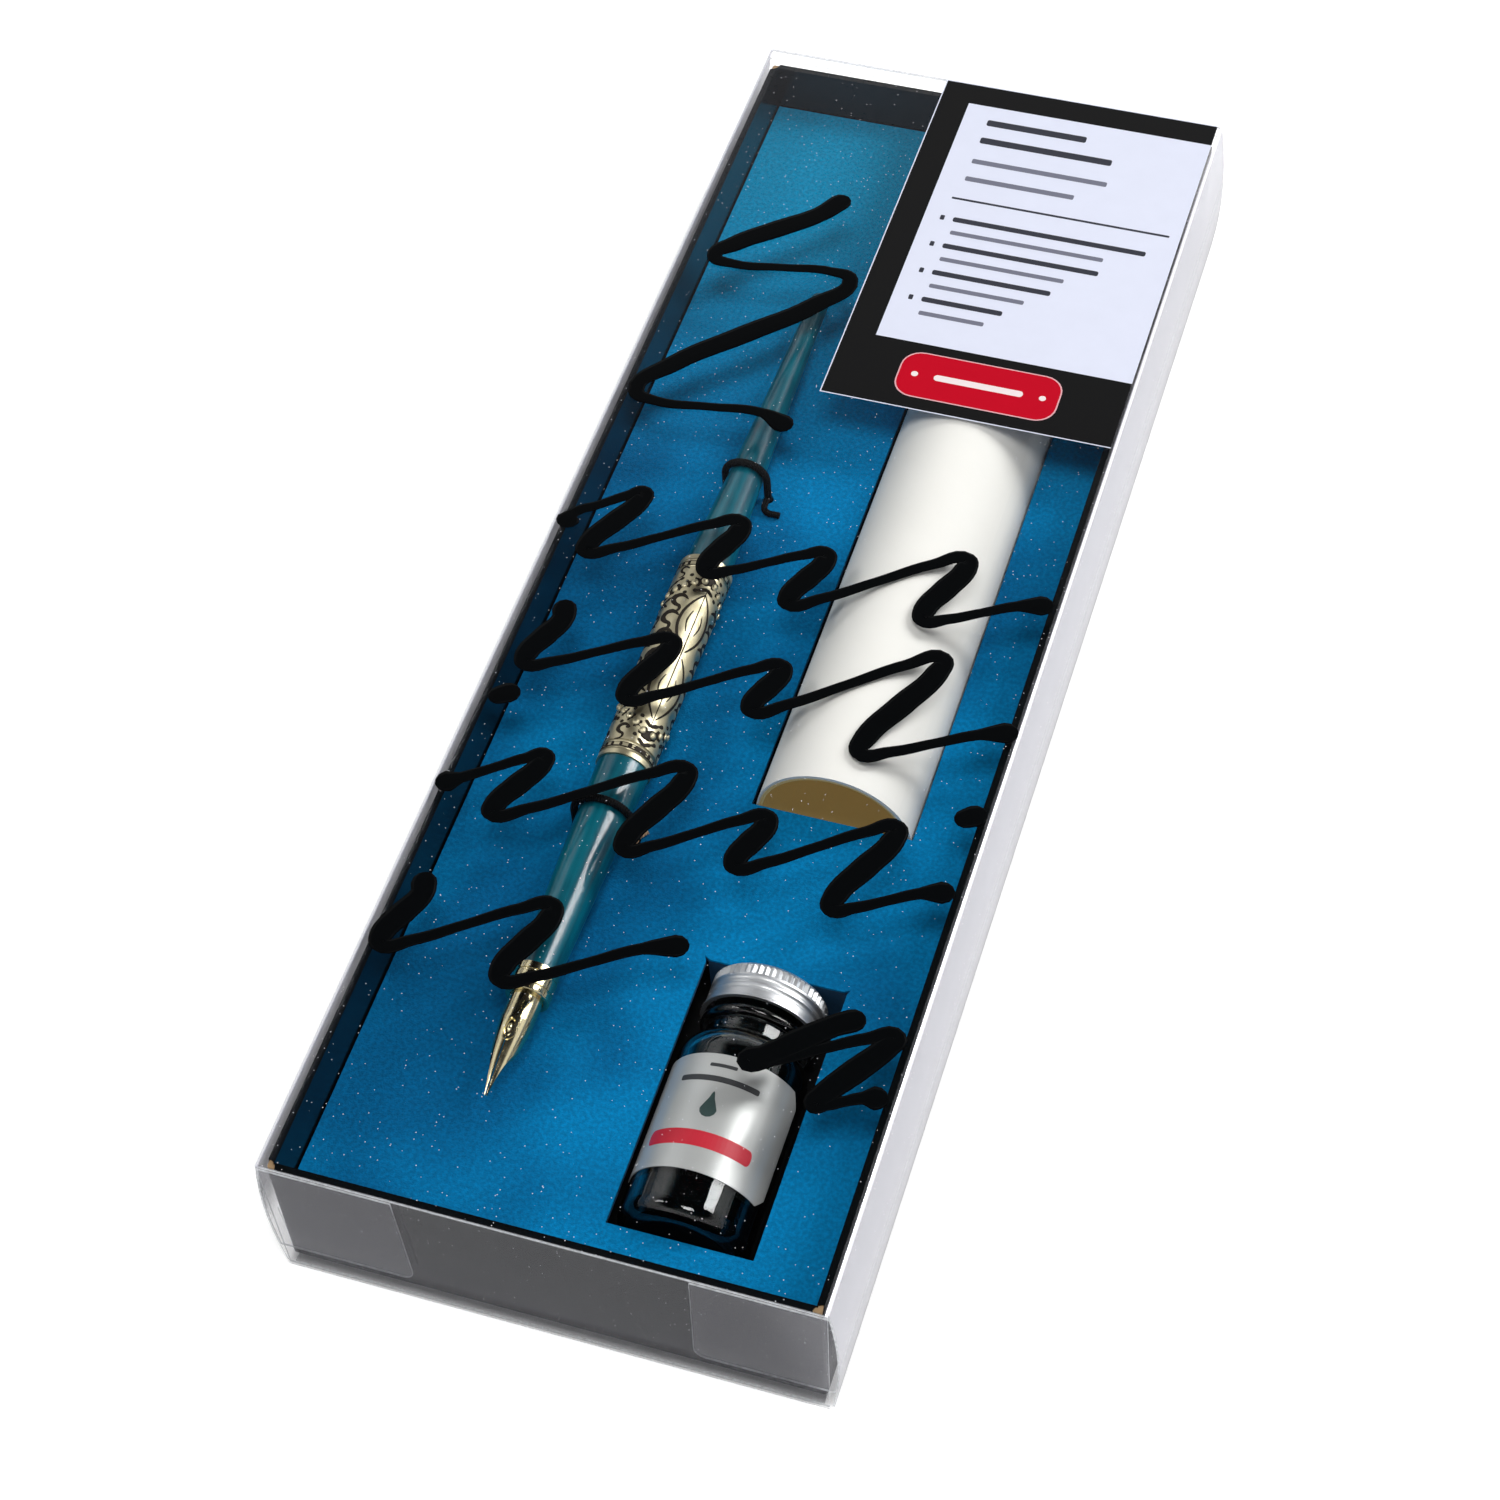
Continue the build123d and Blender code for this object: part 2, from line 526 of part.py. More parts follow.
def pen_handle_rear():
    """Tail: lacquered wood that tapers to a rounded end."""
    tenon = SLEEVE_BORE / 2 - TENON_CLEARANCE
    tenon_end = SLEEVE_FAR_Y - TENON_LENGTH
    front = SLEEVE_FAR_Y + TENON_CLEARANCE
    end_radius = TAIL_END_DIAMETER / 2 - TAIL_END_FLAT
    round_y = TAIL_END_Y - end_radius
    outline = wood_edge(front, round_y)
    outline += Polyline(
        (pen_radius(front), front), (tenon, front), (tenon, tenon_end), (0, tenon_end),
        (0, TAIL_END_Y), (TAIL_END_FLAT, TAIL_END_Y),
    )
    shoulder = pen_radius(round_y)
    halfway = TAIL_END_FLAT + (shoulder - TAIL_END_FLAT) * cos(pi / 4)
    outline += ThreePointArc(
        (shoulder, round_y), (halfway, round_y + end_radius * sin(pi / 4)), (TAIL_END_FLAT, TAIL_END_Y)
    )
    return turned(PEN_X, PEN_Z, make_face(outline))


def brass_sleeve():
    """Engraved tube over the middle of the pen, with a plain band and two grooves at each end."""
    length = (SLEEVE_NEAR_Y, SLEEVE_FAR_Y)
    tube = rod(PEN_X, PEN_Z, length, SLEEVE_DIAMETER / 2)
    tube -= rod(PEN_X, PEN_Z, length, SLEEVE_BORE / 2)
    for end, inwards in ((SLEEVE_NEAR_Y, 1), (SLEEVE_FAR_Y, -1)):
        for share in (0.5, 1.0):
            groove_y = end + inwards * share * SLEEVE_BAND
            groove = Pos(SLEEVE_DIAMETER / 2, groove_y) * Circle(SLEEVE_BEAD)
            tube -= turned(PEN_X, PEN_Z, groove)
    return tube


def ferrule():
    """Metal socket: a grooved collar in front of the wood and a stem inside it."""
    collar = FERRULE_DIAMETER / 2
    body = rod(PEN_X, PEN_Z, (FERRULE_FRONT_Y, GRIP_FRONT_Y - TENON_CLEARANCE), collar)
    front_edge = body.edges().filter_by(GeomType.CIRCLE).sort_by(Axis.Y)[0]
    body = fillet(front_edge, FERRULE_GROOVE)
    for share in (0.3, 0.75):
        groove = Pos(collar, GRIP_FRONT_Y - share * FERRULE_COLLAR) * Circle(FERRULE_GROOVE)
        body -= turned(PEN_X, PEN_Z, groove)
    body += rod(PEN_X, PEN_Z, (FERRULE_FRONT_Y + 1, FERRULE_BACK_Y), FERRULE_STEM_DIAMETER / 2)
    return body - rod(PEN_X, PEN_Z, (FERRULE_FRONT_Y - 1, FERRULE_BACK_Y + 1), FERRULE_BORE / 2)


def nib_claw():
    """Split spring tube inside the ferrule that presses the nib against the bore."""
    radius = NIB_RADIUS - NIB_SHEET - NIB_FIT
    front = FERRULE_FRONT_Y + CLAW_WALL
    back = FERRULE_BACK_Y
    plug_front = NIB_BACK_Y + NIB_FIT
    tube = rod(PEN_X, PEN_Z, (front, plug_front), radius)
    tube -= rod(PEN_X, PEN_Z, (front, plug_front), radius - CLAW_WALL)
    slot = (PEN_X - CLAW_SLOT / 2, PEN_X + CLAW_SLOT / 2)
    tube -= block(slot, (front, plug_front), (PEN_Z - radius, PEN_Z))
    return tube + rod(PEN_X, PEN_Z, (plug_front, back), FERRULE_BORE / 2 - TENON_CLEARANCE)


def nib_shell(inner_shift, outer_shift):
    """Round-backed sheet from the seat to the point, as a thick skin of revolution."""
    edges = Curve()
    for shift in (inner_shift, outer_shift):
        back = NIB_RADIUS + shift
        tip = back - NIB_TIP_DROP
        middle_y = (NIB_SHANK_Y + NIB_TIP_Y) / 2
        edges += Line((back, NIB_BACK_Y), (back, NIB_SHANK_Y))
        middle = back - 0.38 * NIB_TIP_DROP
        edges += ThreePointArc((back, NIB_SHANK_Y), (middle, middle_y), (tip, NIB_TIP_Y))
    for radius, y in ((NIB_RADIUS, NIB_BACK_Y), (NIB_RADIUS - NIB_TIP_DROP, NIB_TIP_Y)):
        edges += Line((radius + inner_shift, y), (radius + outer_shift, y))
    return turned(PEN_X, PEN_Z, make_face(edges))


def nib_plan():
    """The nib's outline from above: shank, shoulders, then hollow flanks to the point."""
    wide = NIB_RADIUS + NIB_SHEET
    shoulder_y = NIB_SHANK_Y - NIB_SHOULDER
    shoulder = NIB_SHOULDER_WIDTH / 2
    tip = NIB_TIP_WIDTH / 2
    flank_y = (shoulder_y + NIB_TIP_Y) / 2
    flank = (shoulder + tip) / 2 - 0.3
    edges = Line((-wide, NIB_BACK_Y), (wide, NIB_BACK_Y)) + Line((-tip, NIB_TIP_Y), (tip, NIB_TIP_Y))
    for side in (-1, 1):
        seat = (side * wide, NIB_BACK_Y)
        shank = (side * wide, NIB_SHANK_Y)
        widest = (side * shoulder, shoulder_y)
        edges += Polyline(seat, shank, widest)
        edges += ThreePointArc(widest, (side * flank, flank_y), (side * tip, NIB_TIP_Y))
    return make_face(edges)


def nib():
    """Pressed pen nib with a raised rim round its breather hole and a slit to the point."""
    above = Pos(PEN_X, 0, PEN_Z)
    hole_y = NIB_SHANK_Y - NIB_SHOULDER / 2
    hole = Pos(0, hole_y) * Ellipse(NIB_HOLE_WIDTH / 2, NIB_HOLE_LENGTH / 2)
    rim_outside = Ellipse(NIB_HOLE_WIDTH / 2 + NIB_BOSS_RIM, NIB_HOLE_LENGTH / 2 + NIB_BOSS_RIM)
    rim = Pos(0, hole_y) * rim_outside - hole
    slit_y = (hole_y + NIB_TIP_Y) / 2
    slit = Pos(0, slit_y) * Rectangle(NIB_SLIT, hole_y - NIB_TIP_Y + 1)
    sheet = nib_shell(-NIB_SHEET, 0) & above * extrude(nib_plan(), amount=FERRULE_DIAMETER)
    sheet += nib_shell(-NIB_SHEET / 2, NIB_BOSS) & above * extrude(rim, amount=FERRULE_DIAMETER)
    sheet -= above * extrude(hole, amount=FERRULE_DIAMETER)
    return sheet - above * extrude(slit, amount=FERRULE_DIAMETER)


# ------------------------------------------------------------------ ties
def tie_radius(y):
    """Pen's axis to the middle of the cord that goes round it."""
    return pen_radius(y) + TIE_PEN_GAP + TIE_DIAMETER / 2


def pen_tie(y):
    """Cord loop over the pen and through the platform, knotted below."""
    wire = TIE_DIAMETER / 2
    radius = tie_radius(y)
    low_z = PLATFORM_BOARD_TOP_Z - PLATFORM_BOARD - wire
    half_ring = revolve(Pos(radius, 0) * Circle(wire), axis=Axis.Y, revolution_arc=180)
    cord = Pos(PEN_X, y, low_z) * half_ring
    cord += Pos(PEN_X, y, PEN_Z) * Rot(0, 180, 0) * half_ring
    for side in (-1, 1):
        cord += Pos(PEN_X + side * radius, y, (low_z + PEN_Z) / 2) * Cylinder(wire, PEN_Z - low_z)
    return cord + Pos(PEN_X, y, low_z - radius) * Rot(0, 90, 0) * Cylinder(TIE_DIAMETER, TIE_KNOT_LENGTH)


def tie_tail(y):
    """Loose end of a tie's cord, which lies on the platform and turns outwards."""
    tail_x = PEN_X + tie_radius(y)
    tail_wire = TIE_TAIL_DIAMETER / 2
    tail_z = PLATFORM_Z + tail_wire + TIE_PEN_GAP
    tail_path = FilletPolyline(
        (tail_x, y, tail_z),
        (tail_x, y - TIE_TAIL_LENGTH, tail_z),
        (tail_x + TIE_TAIL_REACH, y - TIE_TAIL_LENGTH, tail_z),
        radius=TIE_BEND,
    )
    tail_start = Plane(origin=(tail_x, y, tail_z), z_dir=(0, -1, 0))
    return sweep(tail_start * Circle(tail_wire), path=tail_path)


def tie_stub(y):
    """Bare cut end of a tie's cord, lying aslant across the foot of its loop."""
    wire = TIE_TAIL_DIAMETER / 2
    foot = Pos(PEN_X + tie_radius(y), y, PLATFORM_Z + wire + TIE_PEN_GAP)
    return foot * Rot(0, 0, -TIE_STUB_SLANT) * Rot(90, 0, 0) * Cylinder(wire, TIE_STUB_LENGTH)


# ------------------------------------------------------------------ ink bottle
def bottle_outside():
    """Half of the bottle's outline, as radius and Y."""
    base = BOTTLE_NEAR_Y
    heel_x = BOTTLE_RADIUS - BOTTLE_HEEL
    shoulder_y = base + BOTTLE_BODY_LENGTH
    neck_y = shoulder_y + BOTTLE_SHOULDER
    neck = NECK_DIAMETER / 2
    bead_near = neck_y + NECK_BEAD_RISE
    bead_far = bead_near + NECK_BEAD_LENGTH
    corner = BOTTLE_HEEL * sin(pi / 4)
    edges = ThreePointArc((0, base + BOTTLE_PUNT), (heel_x / 2, base + 0.75 * BOTTLE_PUNT), (heel_x, base))
    edges += ThreePointArc(
        (heel_x, base),
        (heel_x + corner, base + BOTTLE_HEEL - corner),
        (BOTTLE_RADIUS, base + BOTTLE_HEEL),
    )
    edges += Line((BOTTLE_RADIUS, base + BOTTLE_HEEL), (BOTTLE_RADIUS, shoulder_y))
    edges += Bezier(
        (BOTTLE_RADIUS, shoulder_y),
        (BOTTLE_RADIUS, shoulder_y + 0.7 * BOTTLE_SHOULDER),
        (neck + 0.6, neck_y - 0.6),
        (neck, neck_y),
    )
    edges += Line((neck, neck_y), (neck, bead_near))
    edges += ThreePointArc(
        (neck, bead_near), (NECK_BEAD_DIAMETER / 2, (bead_near + bead_far) / 2), (neck, bead_far)
    )
    edges += Polyline(
        (neck, bead_far), (neck, BOTTLE_MOUTH_Y), (0, BOTTLE_MOUTH_Y), (0, base + BOTTLE_PUNT)
    )
    return make_face(edges)


def bottle_cavity(gap):
    """Half of the outline of the bottle's inside, drawn in by a gap."""
    base = BOTTLE_NEAR_Y + BOTTLE_PUNT + BOTTLE_WALL + gap
    radius = BOTTLE_RADIUS - BOTTLE_WALL - gap
    bore = BORE_DIAMETER / 2 - gap
    shoulder_y = BOTTLE_NEAR_Y + BOTTLE_BODY_LENGTH
    neck_y = shoulder_y + BOTTLE_SHOULDER
    corner = BOTTLE_WALL
    edges = Polyline((0, base), (radius - corner, base), (radius, base + corner), (radius, shoulder_y))
    edges += Bezier(
        (radius, shoulder_y),
        (radius, shoulder_y + 0.7 * BOTTLE_SHOULDER),
        (bore + 0.6, neck_y - 0.6),
        (bore, neck_y),
    )
    edges += Polyline((bore, neck_y), (bore, BOTTLE_MOUTH_Y - gap), (0, BOTTLE_MOUTH_Y - gap), (0, base))
    return make_face(edges)


def ink_bottle():
    """Small round glass bottle lying on its side, its neck towards the far end."""
    return turned(BOTTLE_X, BOTTLE_Z, bottle_outside()) - turned(BOTTLE_X, BOTTLE_Z, bottle_cavity(0))


def ink():
    """Ink that fills the bottle up to a level surface, with a bubble above it."""
    filling = turned(BOTTLE_X, BOTTLE_Z, bottle_cavity(INK_GAP))
    level = BOTTLE_Z + BOTTLE_RADIUS - BOTTLE_WALL - BUBBLE_HEIGHT
    beside = (BOTTLE_X - BOTTLE_DIAMETER, BOTTLE_X + BOTTLE_DIAMETER)
    return filling - block(beside, (BOTTLE_NEAR_Y, BOTTLE_MOUTH_Y + 1), (level, BOTTLE_Z + BOTTLE_DIAMETER))


def cap_liner():
    """Soft disc between the cap and the bottle's mouth."""
    radius = CAP_DIAMETER / 2 - CAP_WALL - INK_GAP
    return rod(BOTTLE_X, BOTTLE_Z, (BOTTLE_MOUTH_Y, BOTTLE_MOUTH_Y + LINER_THICKNESS), radius)


def bottle_cap():
    """Spun screw cap: knurled crown, two rolled grooves and a flared hem."""
    radius = CAP_DIAMETER / 2
    inside = radius - CAP_WALL
    crown = 2 * CAP_KNURL_DEPTH
    hem = radius + CAP_FLARE
    knurl_y = CAP_FAR_Y - CAP_KNURL_LENGTH
    edges = Polyline(
        (inside, CAP_NEAR_Y), (inside, CAP_FAR_Y - CAP_WALL), (0, CAP_FAR_Y - CAP_WALL), (0, CAP_FAR_Y),
        (radius - crown, CAP_FAR_Y), (radius, CAP_FAR_Y - crown), (radius, CAP_NEAR_Y + crown),
        (hem, CAP_NEAR_Y + crown / 2), (hem, CAP_NEAR_Y), (inside, CAP_NEAR_Y),
    )
    shell = turned(BOTTLE_X, BOTTLE_Z, make_face(edges))
    for step in (0.6, 2.0):
        groove = Pos(radius + CAP_GROOVE, knurl_y - step) * Circle(2 * CAP_GROOVE)
        shell -= turned(BOTTLE_X, BOTTLE_Z, groove)
    corners = []
    for index in range(2 * CAP_KNURLS):
        angle = pi * index / CAP_KNURLS
        reach = radius + 0.01 if index % 2 == 0 else radius - CAP_KNURL_DEPTH
        corners.append((reach * cos(angle), reach * sin(angle)))
    star = make_face(Polyline(*corners, close=True))
    flutes = plate_xz(Circle(radius + 1) - star, (knurl_y + CAP_GROOVE, CAP_FAR_Y - crown))
    return shell - Pos(BOTTLE_X, 0, BOTTLE_Z) * flutes


def bottle_label():
    """Paper label curved round the side that faces up, its four corners cut off."""
    near = BOTTLE_NEAR_Y + BOTTLE_LABEL_START
    far = near + BOTTLE_LABEL_LENGTH
    inner = BOTTLE_RADIUS
    place = Pos(inner + BOTTLE_LABEL_THICKNESS / 2, (near + far) / 2)
    section = place * Rectangle(BOTTLE_LABEL_THICKNESS, BOTTLE_LABEL_LENGTH)
    paper = revolve(section, axis=Axis.Y, revolution_arc=BOTTLE_LABEL_SPAN)
    paper = Rot(0, -(BOTTLE_LABEL_SPAN + 180) / 2 + BOTTLE_LABEL_TURN, 0) * paper
    side = BOTTLE_LABEL_CUT * sqrt(2)
    for y in (near, far):
        for edge in (-1, 1):
            turn = edge * BOTTLE_LABEL_SPAN / 2 + BOTTLE_LABEL_TURN
            corner = Pos(0, y, inner) * Rot(0, 0, 45) * Box(side, side, 4)
            paper -= Rot(0, turn, 0) * corner
    return Pos(BOTTLE_X, 0, BOTTLE_Z) * paper


# ------------------------------------------------------------------ all pieces
def across(piece):
    """The same piece on the other side of the carton."""
    return mirror(piece, about=Plane.YZ)


def at_far_end(piece):
    """The same piece at the carton's far end, turned half round."""
    return Rot(0, 0, 180) * piece


def all_pieces():
    """Every sub-part by its node's name."""
    end_flap = near_end_flap()
    tongue = near_tuck_tongue()
    dust_right = near_dust_flap_right()
    dust_left = across(dust_right)
    return {
        "clear_sleeve": clear_sleeve(),
        "near_end_flap": end_flap,
        "near_tuck_tongue": tongue,
        "near_dust_flap_left": dust_left,
        "near_dust_flap_right": dust_right,
        "far_end_flap": at_far_end(end_flap),
        "far_tuck_tongue": at_far_end(tongue),
        "far_dust_flap_left": at_far_end(dust_right),
        "far_dust_flap_right": at_far_end(dust_left),
        "window_label": window_label(),
        "booklet_cover": booklet_cover(),
        "booklet_pages": booklet_pages(),
        "booklet_staples": booklet_staples(),
        "tray_board": tray_board(),
        "tray_wrap": tray_wrap(),
        "platform_board": platform_board(),
        "platform_flocking": platform_flocking(),
        "pen_handle_front": pen_handle_front(),
        "pen_handle_rear": pen_handle_rear(),
        "brass_sleeve": brass_sleeve(),
        "ferrule": ferrule(),
        "nib_claw": nib_claw(),
        "nib": nib(),
        "pen_tie_upper": pen_tie(UPPER_TIE_Y) + tie_tail(UPPER_TIE_Y),
        "pen_tie_lower": pen_tie(LOWER_TIE_Y) + tie_stub(LOWER_TIE_Y),
        "paper_roll": paper_roll(),
        "ink_bottle": ink_bottle(),
        "ink": ink(),
        "bottle_cap": bottle_cap(),
        "cap_liner": cap_liner(),
        "bottle_label": bottle_label(),
    }


os.makedirs("parts", exist_ok=True)
for name, piece in all_pieces().items():
    export_step(piece, f"parts/{name}.step")
    print(f"{name}: {piece.volume:.1f} mm3")
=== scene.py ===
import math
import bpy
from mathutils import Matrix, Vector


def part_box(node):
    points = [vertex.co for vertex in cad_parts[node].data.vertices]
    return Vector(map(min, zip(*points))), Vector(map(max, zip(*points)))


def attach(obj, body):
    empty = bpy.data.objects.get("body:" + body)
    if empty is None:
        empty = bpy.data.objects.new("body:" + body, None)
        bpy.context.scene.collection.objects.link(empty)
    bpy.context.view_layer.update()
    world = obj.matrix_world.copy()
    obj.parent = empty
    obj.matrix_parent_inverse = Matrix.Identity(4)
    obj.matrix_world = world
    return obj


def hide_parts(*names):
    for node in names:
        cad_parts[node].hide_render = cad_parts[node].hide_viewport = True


bl_info = {
    "name": "Boxed dip-pen writing set",
    "version": (1, 0, 0),
    "blender": (4, 5, 0),
    "location": "3D View > Sidebar > Writing set",
    "description": "Dresses the boxed writing set: clear carton, tray, pen, paper roll and ink bottle",
    "category": "Object",
}

import bmesh
import bpy
from mathutils import Matrix, Vector

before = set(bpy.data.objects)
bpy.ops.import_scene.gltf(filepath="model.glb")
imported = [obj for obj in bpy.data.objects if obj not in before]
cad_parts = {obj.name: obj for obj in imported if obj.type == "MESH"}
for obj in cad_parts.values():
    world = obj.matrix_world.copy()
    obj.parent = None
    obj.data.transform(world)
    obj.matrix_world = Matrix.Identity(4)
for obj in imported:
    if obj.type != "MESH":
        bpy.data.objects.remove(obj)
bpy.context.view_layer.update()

MM = 0.001


# ------------------------------------------------------------------ colour and node helpers
def screen(red, green, blue):
    """A colour given as it looks on a screen, 0 to 255, turned into linear light."""
    def linear(value):
        share = value / 255
        return share / 12.92 if share <= 0.04045 else ((share + 0.055) / 1.055) ** 2.4
    return (linear(red), linear(green), linear(blue))


def opaque(colour):
    """The same colour with a full alpha."""
    return (*colour, 1.0)


def scaled(colour, factor):
    """The same colour made darker or lighter."""
    return tuple(v * factor for v in colour)


def feed(socket, value):
    """Links a socket to an input, or sets the input to a plain value."""
    if isinstance(value, bpy.types.NodeSocket):
        socket.id_data.links.new(value, socket)
    elif isinstance(value, (tuple, list)) and socket.type == "RGBA" and len(value) == 3:
        socket.default_value = opaque(value)
    else:
        socket.default_value = value


def put(tree, kind, inputs=None, **settings):
    """Adds a shader node with its settings, and its inputs by name or number."""
    node = tree.nodes.new("ShaderNode" + kind)
    for name, value in settings.items():
        setattr(node, name, value)
    for key, value in (inputs or {}).items():
        feed(node.inputs[key], value)
    return node


def maths(tree, operation, first, second=None, clamp=False):
    """Output of a math node."""
    node = put(tree, "Math", operation=operation, use_clamp=clamp)
    feed(node.inputs[0], first)
    if second is not None:
        feed(node.inputs[1], second)
    return node.outputs[0]


def blended(tree, share, first, second):
    """Output of a colour mix."""
    node = put(tree, "Mix", data_type="RGBA")
    feed(node.inputs[0], share)
    feed(node.inputs[6], first)
    feed(node.inputs[7], second)
    return node.outputs[2]


def noise(tree, scale, detail=2.0, place=None):
    """Output of a noise texture, over the object unless a place is given."""
    if place is None:
        place = object_place(tree)
    return put(tree, "TexNoise", {"Vector": place, "Scale": scale, "Detail": detail}).outputs[0]


def ramped(tree, value, low, high, start=0.0, end=1.0):
    """Value carried smoothly from one range to another and held at its ends."""
    node = put(tree, "MapRange", interpolation_type="SMOOTHSTEP")
    for key, number in (("Value", value), ("From Min", low), ("From Max", high),
                        ("To Min", start), ("To Max", end)):
        feed(node.inputs[key], number)
    return node.outputs[0]


def object_place(tree):
    """Object coordinates as a vector."""
    return put(tree, "TexCoord").outputs["Object"]


def axes(tree):
    """Object coordinates as X, Y and Z."""
    split = put(tree, "SeparateXYZ", {0: object_place(tree)})
    return split.outputs[0], split.outputs[1], split.outputs[2]


def material(name, **plain):
    """A material holding one Principled shader, whose plain values are set on its own sockets."""
    finish = bpy.data.materials.new(name)
    finish.use_nodes = True
    shader = finish.node_tree.nodes["Principled BSDF"]
    for key, value in plain.items():
        feed(shader.inputs[key.replace("_", " ")], value)
    return finish, finish.node_tree, shader


def base(shader, colour):
    """Gives a shader its colour."""
    feed(shader.inputs["Base Color"], colour)


def two_tone(tree, shader, share, colour, factor):
    """Base colour between a colour and a darker or lighter form of it."""
    base(shader, blended(tree, share, tuple(colour), scaled(colour, factor)))


def raised(tree, shader, height, distance, strength):
    """Feeds a height to the shader's normal."""
    bump = put(tree, "Bump", {"Strength": strength, "Distance": distance, "Height": height})
    feed(shader.inputs["Normal"], bump.outputs[0])


def group_tree(name, inputs, outputs):
    """An empty node group with its sockets."""
    tree = bpy.data.node_groups.new(name, "ShaderNodeTree")
    for label, kind, value in inputs:
        socket = tree.interface.new_socket(label, in_out="INPUT", socket_type=kind)
        socket.default_value = value
    for label, kind in outputs:
        tree.interface.new_socket(label, in_out="OUTPUT", socket_type=kind)
    return tree, tree.nodes.new("NodeGroupInput"), tree.nodes.new("NodeGroupOutput")


def grain_group():
    """Fine paper or flock grain: a height and a soft cloudy tone."""
    if "Grain" in bpy.data.node_groups:
        return bpy.data.node_groups["Grain"]
    tree, ins, outs = group_tree(
        "Grain",
        [("Fine Scale", "NodeSocketFloat", 2500.0), ("Cloud Scale", "NodeSocketFloat", 60.0)],
        [("Height", "NodeSocketFloat"), ("Cloud", "NodeSocketFloat")],
    )
    feed(outs.inputs[0], noise(tree, ins.outputs[0], 3.0))
    feed(outs.inputs[1], noise(tree, ins.outputs[1]))
    return tree


def specks_group():
    """Scattered dust specks: a mask that is 1 on a speck."""
    if "Dust specks" in bpy.data.node_groups:
        return bpy.data.node_groups["Dust specks"]
    tree, ins, outs = group_tree(
        "Dust specks",
        [("Scale", "NodeSocketFloat", 300.0), ("Size", "NodeSocketFloat", 0.1),
         ("Share", "NodeSocketFloat", 0.2)],
        [("Mask", "NodeSocketFloat")],
    )
    place = object_place(tree)
    cells = put(tree, "TexVoronoi", {"Vector": place, "Scale": ins.outputs[0]})
    near = maths(tree, "LESS_THAN", cells.outputs["Distance"], ins.outputs[1])
    pick = put(tree, "SeparateColor", {0: cells.outputs["Color"]})
    chosen = maths(tree, "LESS_THAN", pick.outputs[0], ins.outputs[2])
    feed(outs.inputs[0], maths(tree, "MULTIPLY", near, chosen))
    return tree


def grouped(tree, group, **inputs):
    """Places a shared group with this material's own values."""
    node = tree.nodes.new("ShaderNodeGroup")
    node.node_tree = group
    for key, value in inputs.items():
        feed(node.inputs[key.replace("_", " ")], value)
    return node


def grained(tree, fine, cloud):
    """The grain's height and its soft cloudy tone."""
    node = grouped(tree, grain_group(), Fine_Scale=fine, Cloud_Scale=cloud)
    return node.outputs[0], node.outputs[1]


def papery(name, colour, factor, scales, relief, **plain):
    """A material with a cloudy tone and a fine raised grain."""
    finish, tree, shader = material(name, **plain)
    height, cloud = grained(tree, *scales)
    two_tone(tree, shader, cloud, colour, factor)
    raised(tree, shader, height, *relief)
    return finish


# ------------------------------------------------------------------ mesh helpers
def made(name, bm, finish, body, smooth=True):
    """A finished piece from a bmesh, riding on its body."""
    mesh = bpy.data.meshes.new(name)
    bm.to_mesh(mesh)
    bm.free()
    mesh.polygons.foreach_set("use_smooth", [smooth] * len(mesh.polygons))
    piece = bpy.data.objects.new(name, mesh)
    bpy.context.scene.collection.objects.link(piece)
    mesh.materials.append(finish)
    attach(piece, body)
    return piece


def dress(finish, *nodes):
    """Gives CAD nodes a finish."""
    for name in nodes:
        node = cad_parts[name]
        node.data.materials.clear()
        node.data.materials.append(finish)


def add_slab(bm, x_span, y_span, z_span, corner, cells=1):
    """Adds a flat printed patch with rounded corners, lengths in millimetres."""
    before = set(bm.verts)
    grid = bmesh.ops.create_grid(bm, x_segments=cells, y_segments=1, size=0.5)
    wide, long = x_span[1] - x_span[0], y_span[1] - y_span[0]
    spot = Vector(((x_span[0] + x_span[1]) / 2, (y_span[0] + y_span[1]) / 2, z_span[0])) * MM
    size = Matrix.Diagonal((wide * MM, long * MM, 1, 1))
    bmesh.ops.transform(bm, matrix=Matrix.Translation(spot) @ size, verts=grid["verts"])
    tips = [v for v in grid["verts"] if len(v.link_faces) == 1]
    bmesh.ops.bevel(bm, geom=tips, offset=corner * MM, offset_type="OFFSET", segments=6,
                    profile=0.5, affect="VERTICES", material=-1)
    sheet = [f for f in bm.faces if not any(v in before for v in f.verts)]
    rim = bmesh.ops.extrude_face_region(bm, geom=sheet)
    lifted = [v for v in rim["geom"] if isinstance(v, bmesh.types.BMVert)]
    bmesh.ops.translate(bm, verts=lifted, vec=(0, 0, (z_span[1] - z_span[0]) * MM))
    fresh = [f for f in bm.faces if not any(v in before for v in f.verts)]
    bmesh.ops.recalc_face_normals(bm, faces=fresh)


def stroke_points(points):
    """Stroke's middle line with half-widths, its two ends rounded off."""
    def rounded(end, inner):
        x, y, half = end
        away = Vector((x - inner[0], y - inner[1])).normalized()
        return [(x + away.x * half * reach, y + away.y * half * reach, half * share)
                for reach, share in ((0.5, 0.87), (0.87, 0.5), (1.0, 0.08))]
    start = rounded(points[0], points[1])[::-1]
    return start + list(points) + rounded(points[-1], points[-2])


